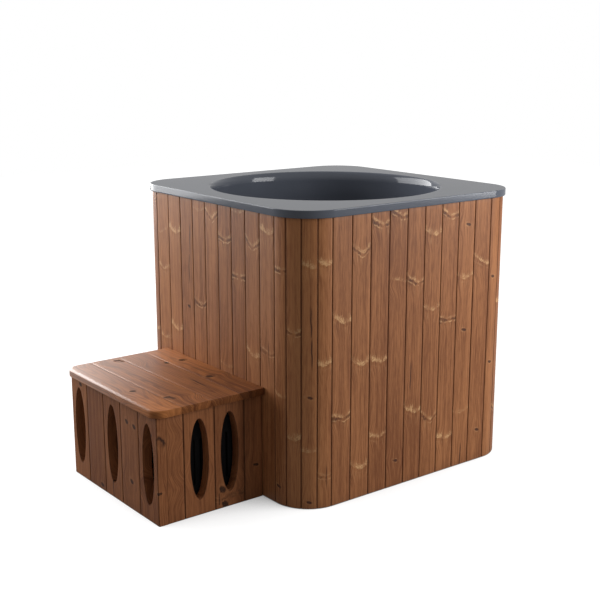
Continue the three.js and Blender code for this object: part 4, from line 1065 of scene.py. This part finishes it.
def rod_of(loop, through):
    """A loop of points carried both ways along a line, with flat ends."""
    return closed_net(np.stack([loop - np.array(through), loop + np.array(through)]))


def slot_rod(middle, run, radius, through):
    """A rod whose section is a slot: two half circles, one at each end of the run."""
    along = np.array(run) / np.linalg.norm(run)
    side = np.cross(np.array(through) / np.linalg.norm(through), along)
    turn = np.linspace(-math.pi / 2, math.pi / 2, 7)[:, None]
    end = np.array(run) + radius * (np.cos(turn) * along + np.sin(turn) * side)
    return rod_of(np.array(middle) + np.concatenate([end, -end]), through)


print("points of a slot rod:", len(slot_rod((0, 0, 0), (1, 0, 0), 0.1, (0, 0, 1))[0]))

# %% [markdown]
# ## Drain and hoses
# The drain leaves the basin through its floor, turns in an elbow and runs out under the floor to the valve.
# The two hoses carry the water to the chiller and back. A hose has a coil inside its wall, which shows as
# fine ribs: a cosine added to the radius.

# %% Drain pipe, drain flange and hoses
BEND = 0.032
arc = np.radians(np.linspace(0, 90, 13))
bend_x = DRAIN_X - BEND * (1 - np.cos(arc))
bend_z = PIPE_Z + BEND * (1 - np.sin(arc))
run_x = np.array([-0.158, -0.160, -0.162, -0.25, -0.35, -0.45, -0.5297])
path_x = np.concatenate([[DRAIN_X, DRAIN_X], bend_x, run_x])
path_z = np.concatenate([[0.118, 0.1165], bend_z, PIPE_Z + 0 * run_x])
path = np.stack([path_x, DRAIN_Y + 0 * path_x, path_z], axis=-1)
lean = np.concatenate([[0, 0], arc, np.full(len(run_x), math.pi / 2)])
heading = np.stack([-np.sin(lean), 0 * lean, -np.cos(lean)], axis=-1)
outer = np.concatenate([[0.0205, 0.0212], np.full(13, 0.0212), [0.0212, 0.0207, 0.0200], np.full(4, 0.0200)])
drain_pipe = add_mesh("drain_pipe_tube", *tube_along(path, heading, outer, 0.016))
settle(drain_pipe, "tub", ["drain_pipe"], grey_plastic)

flange = [
    (0.0127, 0.1103), (0.0157, 0.1103), (0.0157, 0.1183), (0.020, 0.1183), (0.020, 0.1372), (0.0398, 0.1372),
    (0.040, 0.1378), (0.0398, 0.1390), (0.0390, 0.1402), (0.0378, 0.1409), (0.0360, 0.1412), (0.0250, 0.1410),
    (0.0165, 0.1403), (0.0140, 0.1394), (0.0127, 0.1380),
]
reach = np.linspace(-0.0138, 0.0138, 5)[:, None]
bars = [
    bar_net(np.array([DRAIN_X, DRAIN_Y, 0.1387]) + reach * way, (way[1], way[0], 0), UPRIGHT,
            np.full(5, 0.002), np.full(5, 0.0015))
    for way in np.eye(3)[:2]
]
flange = turned_net(flange, (DRAIN_X, DRAIN_Y, 0), UPRIGHT, closed=True)
drain_flange = add_mesh("drain_flange_turned", *joined([flange] + bars))
settle(drain_flange, "tub", ["drain_flange"], steel)

HOSE_START, HOSE_LENGTH = -0.4413, 0.0981
along = np.linspace(0, HOSE_LENGTH, 141)
ribs = 0.0193 - 0.0008 * (0.5 + 0.5 * np.cos(2 * math.pi * along / 0.0061))
profile = list(zip(ribs, along)) + [(HOSE_BORE, HOSE_LENGTH), (HOSE_BORE, 0)]
for name, y in HOSES.items():
    net = turned_net(profile, (HOSE_START, y, HOSE_Z), BACKWARD, 36, closed=True)
    hose = add_mesh(name + "_hose_ribbed", *net, crease=80)
    settle(hose, "tub", [name + "_hose"], black_rubber)
print("drain pipe rings:", len(path), "hose rings:", len(profile))

# %% [markdown]
# ## Drain valve
# The valve is turned brass: a hexagon at each end for the spanner, a round belly for the ball, and a ribbed
# tail for a garden hose. Its red lever stands upright when it is shut. The lever is flat where the spindle
# holds it, narrow behind that, and thicker where the hand takes it.

# %% Valve body and lever
VALVE = np.array([-0.555, DRAIN_Y, PIPE_Z])
BALL_FROM_END, BELLY, BALL_ROOM = 0.035, 0.031, 0.0223


def ball_rings(radius, first, last, count):
    """Rings on a ball, from one angle to another: the sine gives their radius, the cosine their distance."""
    angle = np.radians(np.linspace(first, last, count))
    return list(zip(radius * np.sin(angle), BALL_FROM_END + radius * np.cos(angle)))


ridges = [(r, 0.0715 + 0.006 * k + d) for k in range(5) for r, d in ((0.0178, 0.0005), (0.0190, 0.006))]
profile = [(0.0203, 0), (0.0235, 0), (0.027, 0.0025, 1), (0.027, 0.0135, 1), (0.0245, 0.0155)]
profile += ball_rings(BELLY, 127, 53, 15)
profile += [(0.0245, 0.0545), (0.027, 0.0565, 1), (0.027, 0.0675, 1), (0.0235, 0.070), (0.0185, 0.0705)]
profile += ridges + [(0.0175, 0.106), (0.016, 0.106)]
profile += ball_rings(BALL_ROOM, 45.9, 134.1, 11)
profile += [(0.016, 0.010), (0.0203, 0.010)]
gland = [
    (0.0060, 0.024), (0.013, 0.024), (0.013, 0.031), (0.0113, 0.032),
    (0.0128, 0.0327, 1), (0.0128, 0.0370, 1), (0.0113, 0.038), (0.0060, 0.038),
]
body = turned_net(profile, VALVE + (BALL_FROM_END, 0, 0), BACKWARD, closed=True)
valve = add_mesh("drain_valve_turned", *joined([body, turned_net(gland, VALVE, (0, 1, 0), closed=True)]))
stem = turned_net([(0.0073, 0.012), (0.0073, 0.052)], VALVE, (0, 1, 0))
cut_away(valve, [stem], crossing=True)
settle(valve, "tub", ["drain_valve_body"], brass)

LEVER_FOOT, LEVER_TIP, LEVER_Y = -0.014, 0.110, 0.1703
rise = LEVER_FOOT + (LEVER_TIP - LEVER_FOOT) * (1 - np.cos(np.linspace(0.02, math.pi - 0.02, 44))) / 2
wide = np.interp(rise, [0.012, 0.030, 0.052], [0.010, 0.0066, 0.010])
tall = np.interp(rise, [0.020, 0.050], [0.0020, 0.0036])
end = np.minimum(np.minimum(rise - LEVER_FOOT, LEVER_TIP - rise) / 0.010, 1)
wide = wide * np.sqrt(1 - (1 - end) ** 2)
tall = tall * (1 - (1 - end) ** 4) ** 0.5
middle = np.stack([VALVE[0] + 0 * rise, LEVER_Y + 0 * rise, VALVE[2] + rise], axis=-1)
lever = add_mesh("drain_lever_grip", *bar_net(middle, (1, 0, 0), (0, 1, 0), wide, tall))
settle(lever, "drain_handle", ["drain_valve_lever"], red_coat)
print("valve faces:", len(valve.data.polygons), "lever faces:", len(lever.data.polygons))

# %% [markdown]
# ## Wall fittings
# Water leaves and enters the basin through two fittings. Each has a round flange that lies flat on the
# wall, so it is turned about the direction from the middle of the tub, and a tail that runs straight out to
# its hose. Its cover has three slots, too narrow for a finger.

# %% Wall fittings
TAIL_END, GRATE, NARROW = -0.4713, 0.0105, 0.0015
wall_radius = wall_rings([HOSE_Z], 0)[0][0]
flange = [
    (0.0005, 0), (0.012, 0.0001), (0.020, 0.0005), (0.026, 0.0014), (0.0295, 0.0027), (0.0313, 0.0045),
    (0.032, 0.0068), (0.032, 0.0120), (0.012, 0.0120), (0.012, 0.003), (0.0005, 0.003),
]
for name, y in HOSES.items():
    wall = np.array([-math.sqrt(wall_radius ** 2 - y ** 2), y, HOSE_Z])
    out = np.array([wall[0], y, 0]) / wall_radius
    face = wall - out * 0.008
    end = wall[0] - TAIL_END
    tail = [(0.012, 0), (0.016, 0), (0.016, end - 0.005), (0.0152, end), (0.012, end)]
    nets = [turned_net(flange, face, out), turned_net(tail, wall, BACKWARD, closed=True)]
    fitting = add_mesh(name + "_fitting_turned", *joined(nets))
    level = np.array([-out[1], out[0], 0])
    slots = [
        slot_rod(face + (0, 0, z), level * (math.sqrt(GRATE ** 2 - z ** 2) - NARROW), NARROW, out * 0.006)
        for z in (-0.006, 0, 0.006)
    ]
    cut_away(fitting, slots, crossing=True)
    settle(fitting, "tub", [name + "_fitting"], grey_plastic)
print("fitting faces:", len(fitting.data.polygons))

# %% [markdown]
# ## Chiller cover
# The chiller stands in the step under a cover of thin black sheet, open below. Its net starts in the middle
# of the ceiling, goes down inside, round the lower edge, and up outside to the middle of the top. Upright
# vents are cut through both its sides, and a round grille of level slots in its front, before the fan.

# %% Chiller cover
COVER_X, COVER_Y = -0.690, -0.084
COVER_HALF, COVER_FOOT, COVER_HEAD, SHEET, COVER_CORNER, FOLD = 0.150, 0.010, 0.3257, 0.002, 0.012, 0.008
SLOT_RADIUS, VENT_STEP, GRILLE_STEP, GRILLE_RADIUS = 0.0045, 0.026, 0.014, 0.098


def box_ring(inset):
    """A square with round corners, drawn in all round: four quarter circles, each at its own corner."""
    turn = np.radians(np.arange(4)[:, None] * 90 + np.linspace(0, 90, 9))
    corner = np.maximum(COVER_CORNER - inset, 0.0015)
    hub = np.radians(np.arange(4)[:, None] * 90 + 45)
    reach = (COVER_HALF - inset - corner) * math.sqrt(2)
    x = reach * np.cos(hub) + corner * np.cos(turn)
    y = reach * np.sin(hub) + corner * np.sin(turn)
    return np.stack([COVER_X + x.ravel(), COVER_Y + y.ravel()], axis=-1)


quarter = np.linspace(0, math.pi / 2, 7)
ceiling = COVER_HEAD - SHEET
rows = [(0.14, ceiling), (SHEET + 0.006, ceiling)]
rows += [(SHEET, level) for level in (ceiling - 0.006, 0.18, COVER_FOOT)]
rows += [(0, level) for level in np.linspace(COVER_FOOT, COVER_HEAD - FOLD, 6)[:-1]]
rows += [(FOLD * (1 - np.cos(a)), COVER_HEAD - FOLD * (1 - np.sin(a))) for a in quarter]
rows.append((0.14, COVER_HEAD))
points = np.stack([np.column_stack([box_ring(inset), np.full(36, height)]) for inset, height in rows])
cover = add_mesh("chiller_cover_sheet", *closed_net(points))
vents = [
    slot_rod((COVER_X + VENT_STEP * k, COVER_Y, 0.164), (0, 0, 0.0755), SLOT_RADIUS, (0, 0.2, 0))
    for k in range(-4, 5)
]
grille_heights = GRILLE_STEP * np.arange(-6, 7)
grille_halves = np.sqrt(GRILLE_RADIUS ** 2 - grille_heights ** 2) - SLOT_RADIUS
grille = [
    slot_rod((COVER_X - COVER_HALF, COVER_Y, 0.165 + height), (0, half, 0), SLOT_RADIUS, (0.01, 0, 0))
    for height, half in zip(grille_heights, grille_halves)
]
stub = [(HOSE_BORE, 0), (HOSE_BORE, 0.02)]
stubs = [turned_net(stub, (-0.55, y, HOSE_Z), LEVEL) for y in HOSES.values()]
corners = ((-1, -1), (1, -1), (1, 1), (-1, 1))
inlet = np.array([(-0.54, 0.021 + 0.0143 * a, 0.070 + 0.0243 * b) for a, b in corners])
cut_away(cover, vents + grille + stubs + [rod_of(inlet, (0.01, 0, 0))])
settle(cover, "tub", ["chiller_cover"], black_coat)
print("cover faces:", len(cover.data.polygons), "slots:", len(vents) + len(grille))

# %% [markdown]
# ## Frame and inner parts
# Under the boards there is a frame of sawn timber, a plywood base and a jacket of foam, and under the black
# cover the works of the chiller. Little of it is seen, but it is still dressed as what it is. The solids
# already have the right shape, so they only get a finish.

# %% Sawn timber, plywood and fins
def sawn_finish(name, light, dark, across, along):
    """Plain wood on the object's own place: across and along are weights of x, y and z."""
    material, tree, shader = new_finish(name)
    axes = parts_of(tree, place_of(tree))
    over = axes[0] * across[0] + axes[1] * across[1] + axes[2] * across[2]
    down = axes[0] * along[0] + axes[1] * along[1] + axes[2] * along[2]
    wood = use_group(tree, fibres, Across=over, Along=down, Board=3.0)
    bands, lines, pores, rings, _ = (Shade(tree, socket) for socket in wood)
    share = (bands * 0.6 + lines * 0.3 + pores * 0.2 - rings * 0.15).ramp(0.3, 0.75)
    plug(tree, blend(tree, share, dark, light), shader["Base Color"])
    plug(tree, pores * 0.2 + 0.6, shader["Roughness"])
    emboss(tree, lines + pores, 0.4, 0.0006, shader["Normal"])
    return material


pale, knotty = paint(214, 178, 130), paint(178, 138, 92)
upright_pine = sawn_finish("upright sawn pine", pale, knotty, (0.8, 0.6, 0), (0, 0, 1))
level_pine = sawn_finish("level sawn pine", pale, knotty, (0.6, 0, 0.8), (0, 1, 0))
plywood = sawn_finish("plywood", paint(206, 170, 124), paint(168, 128, 86), (0.3, 0, 1), (0, 1, 0))
material, tree, shader = new_finish("black coated fins", Specular_IOR_Level=0.1)
_, fin_y, _ = parts_of(tree, place_of(tree))
fin = (fin_y * 3000).apply("SINE") * 0.5 + 0.5
plug(tree, blend(tree, fin, paint(16, 16, 17), paint(34, 35, 36)), shader["Base Color"])
plug(tree, fin * 0.2 + 0.5, shader["Roughness"])
emboss(tree, fin, 0.6, 0.001, shader["Normal"])
fins = material
print("finishes:", upright_pine.name, level_pine.name, plywood.name, fins.name)

# %% Dressing the solids
DRESS = {
    upright_pine: ["post_front_left", "post_front_right", "post_back_right", "post_back_left"],
    level_pine: ["bearer_left", "bearer_middle", "bearer_right", "mid_hoop", "top_hoop",
                 "step_cleat_right", "step_cleat_left", "step_cleat_front"],
    plywood: ["base_board"],
    foam: ["foam_jacket", "floor_slab"],
    grey_plastic: ["drain_nut"],
    black_rubber: ["drain_seal"],
    steel: ["drain_valve_ball"],
    black_coat: ["chiller_tray", "chiller_power_inlet", "chiller_fan", "chiller_fan_motor",
                 "chiller_compressor", "chiller_heat_exchanger"],
    fins: ["chiller_condenser"],
}
for finish, names in DRESS.items():
    for name in names:
        nodes[name].data.materials.clear()
        nodes[name].data.materials.append(finish)
print("solids dressed:", sum(len(names) for names in DRESS.values()))

# %% [markdown]
# ## Floor, light and camera
# The tub stands on white paper between two large soft lamps: one behind it on the left, one in front on the
# right. The paper glows white to the camera, and its glow is taken down where little open sky is seen, a
# painted shadow close to the tub, beside the real shade. The world is a softer white, so that the wood keeps
# its own colour.

# %% White floor
def seen_white(tree, mirrored):
    """White for the camera, and a share of it in mirrors. The light that falls on things has none of it."""
    path = tree.nodes.new("ShaderNodeLightPath").outputs
    glossy = Shade(tree, path["Is Glossy Ray"]).apply("MAXIMUM", Shade(tree, path["Is Transmission Ray"]))
    return Shade(tree, path["Is Camera Ray"]).apply("MAXIMUM", glossy * mirrored)


floor = add_mesh("white_floor", [(-9, -9, 0), (9, -9, 0), (9, 9, 0), (-9, 9, 0)], [[0, 1, 2, 3]])
material, tree, shader = new_finish("white paper", Roughness=0.9, Specular_IOR_Level=0.0)
seen = seen_white(tree, 0.44)
sky = tree.nodes.new("ShaderNodeAmbientOcclusion")
sky.inputs["Distance"].default_value = 1.5
# Painted shadow: the camera glow of the paper fades where the tub and the step close in the sky.
open_sky_for_painted_shadow = Shade(tree, sky.outputs["AO"]).ramp(0.0, 0.64)
x, y, _ = parts_of(tree, place_of(tree))
far = (x * x + y * y).root().ramp(1.2, 3.5)
fibre = cloud(tree, place_of(tree), 60, 2.0) * 0.02
bright = fibre + 0.29
plug(tree, vector_of(tree, bright, bright, bright), shader["Base Color"])
shader["Emission Color"].default_value = (1, 1, 1, 1)
plug(tree, seen * (open_sky_for_painted_shadow * 0.88 + far * 0.14), shader["Emission Strength"])
floor.data.materials.append(material)
print("floor of", tuple(floor.dimensions)[:2], "m")

# %% World and lamps
world = bpy.data.worlds.new("white studio")
world.use_nodes = True
bpy.context.scene.world = world
tree = world.node_tree
_, _, up = parts_of(tree, tree.nodes.new("ShaderNodeTexCoord").outputs["Generated"])
seen = seen_white(tree, up.ramp(0.14, 0.3) * 0.5 + 0.5)
soft = up.ramp(-0.2, 1.0) * 0.3 + 0.13
plug(tree, seen.apply("MAXIMUM", soft), tree.nodes["Background"].inputs["Strength"])
tree.nodes["Background"].inputs["Color"].default_value = (1, 1, 1, 1)


def soft_lamp(name, place, target, width, height, power):
    """A flat lamp, turned to face a point."""
    lamp = bpy.data.lights.new(name, "AREA")
    lamp.shape = "RECTANGLE"
    lamp.size, lamp.size_y, lamp.energy = width, height, power
    lamp_object = bpy.data.objects.new(name, lamp)
    lamp_object.location = place
    away = mathutils.Vector(place) - mathutils.Vector(target)
    lamp_object.rotation_euler = away.to_track_quat("Z", "Y").to_euler()
    lamp_object.visible_camera = False
    bpy.context.scene.collection.objects.link(lamp_object)


soft_lamp("lamp_left_back", (-1.058, 3.064, 1.89), (0.442, 0.234, 1.89), 3.8, 2.6, 212)
soft_lamp("lamp_right", (1.74, -2.42, 1.533), (0, 0, 1.533), 1.5, 1.735, 84)
print("lamps: 2, world light 0.13 to 0.43")

# %% Camera
camera = bpy.data.cameras.new("camera")
camera.lens = 64.92
camera.sensor_width = 36
camera.sensor_fit = "HORIZONTAL"
camera_object = bpy.data.objects.new("camera", camera)
camera_object.location = (-2.52386, -3.10421, 1.50782)
camera_object.rotation_euler = (math.radians(90 - 13.25), 0, math.radians(52.211 - 90))
bpy.context.scene.collection.objects.link(camera_object)
bpy.context.scene.camera = camera_object
bpy.context.scene.view_settings.view_transform = "Standard"
print("camera at", tuple(round(c, 3) for c in camera_object.location))
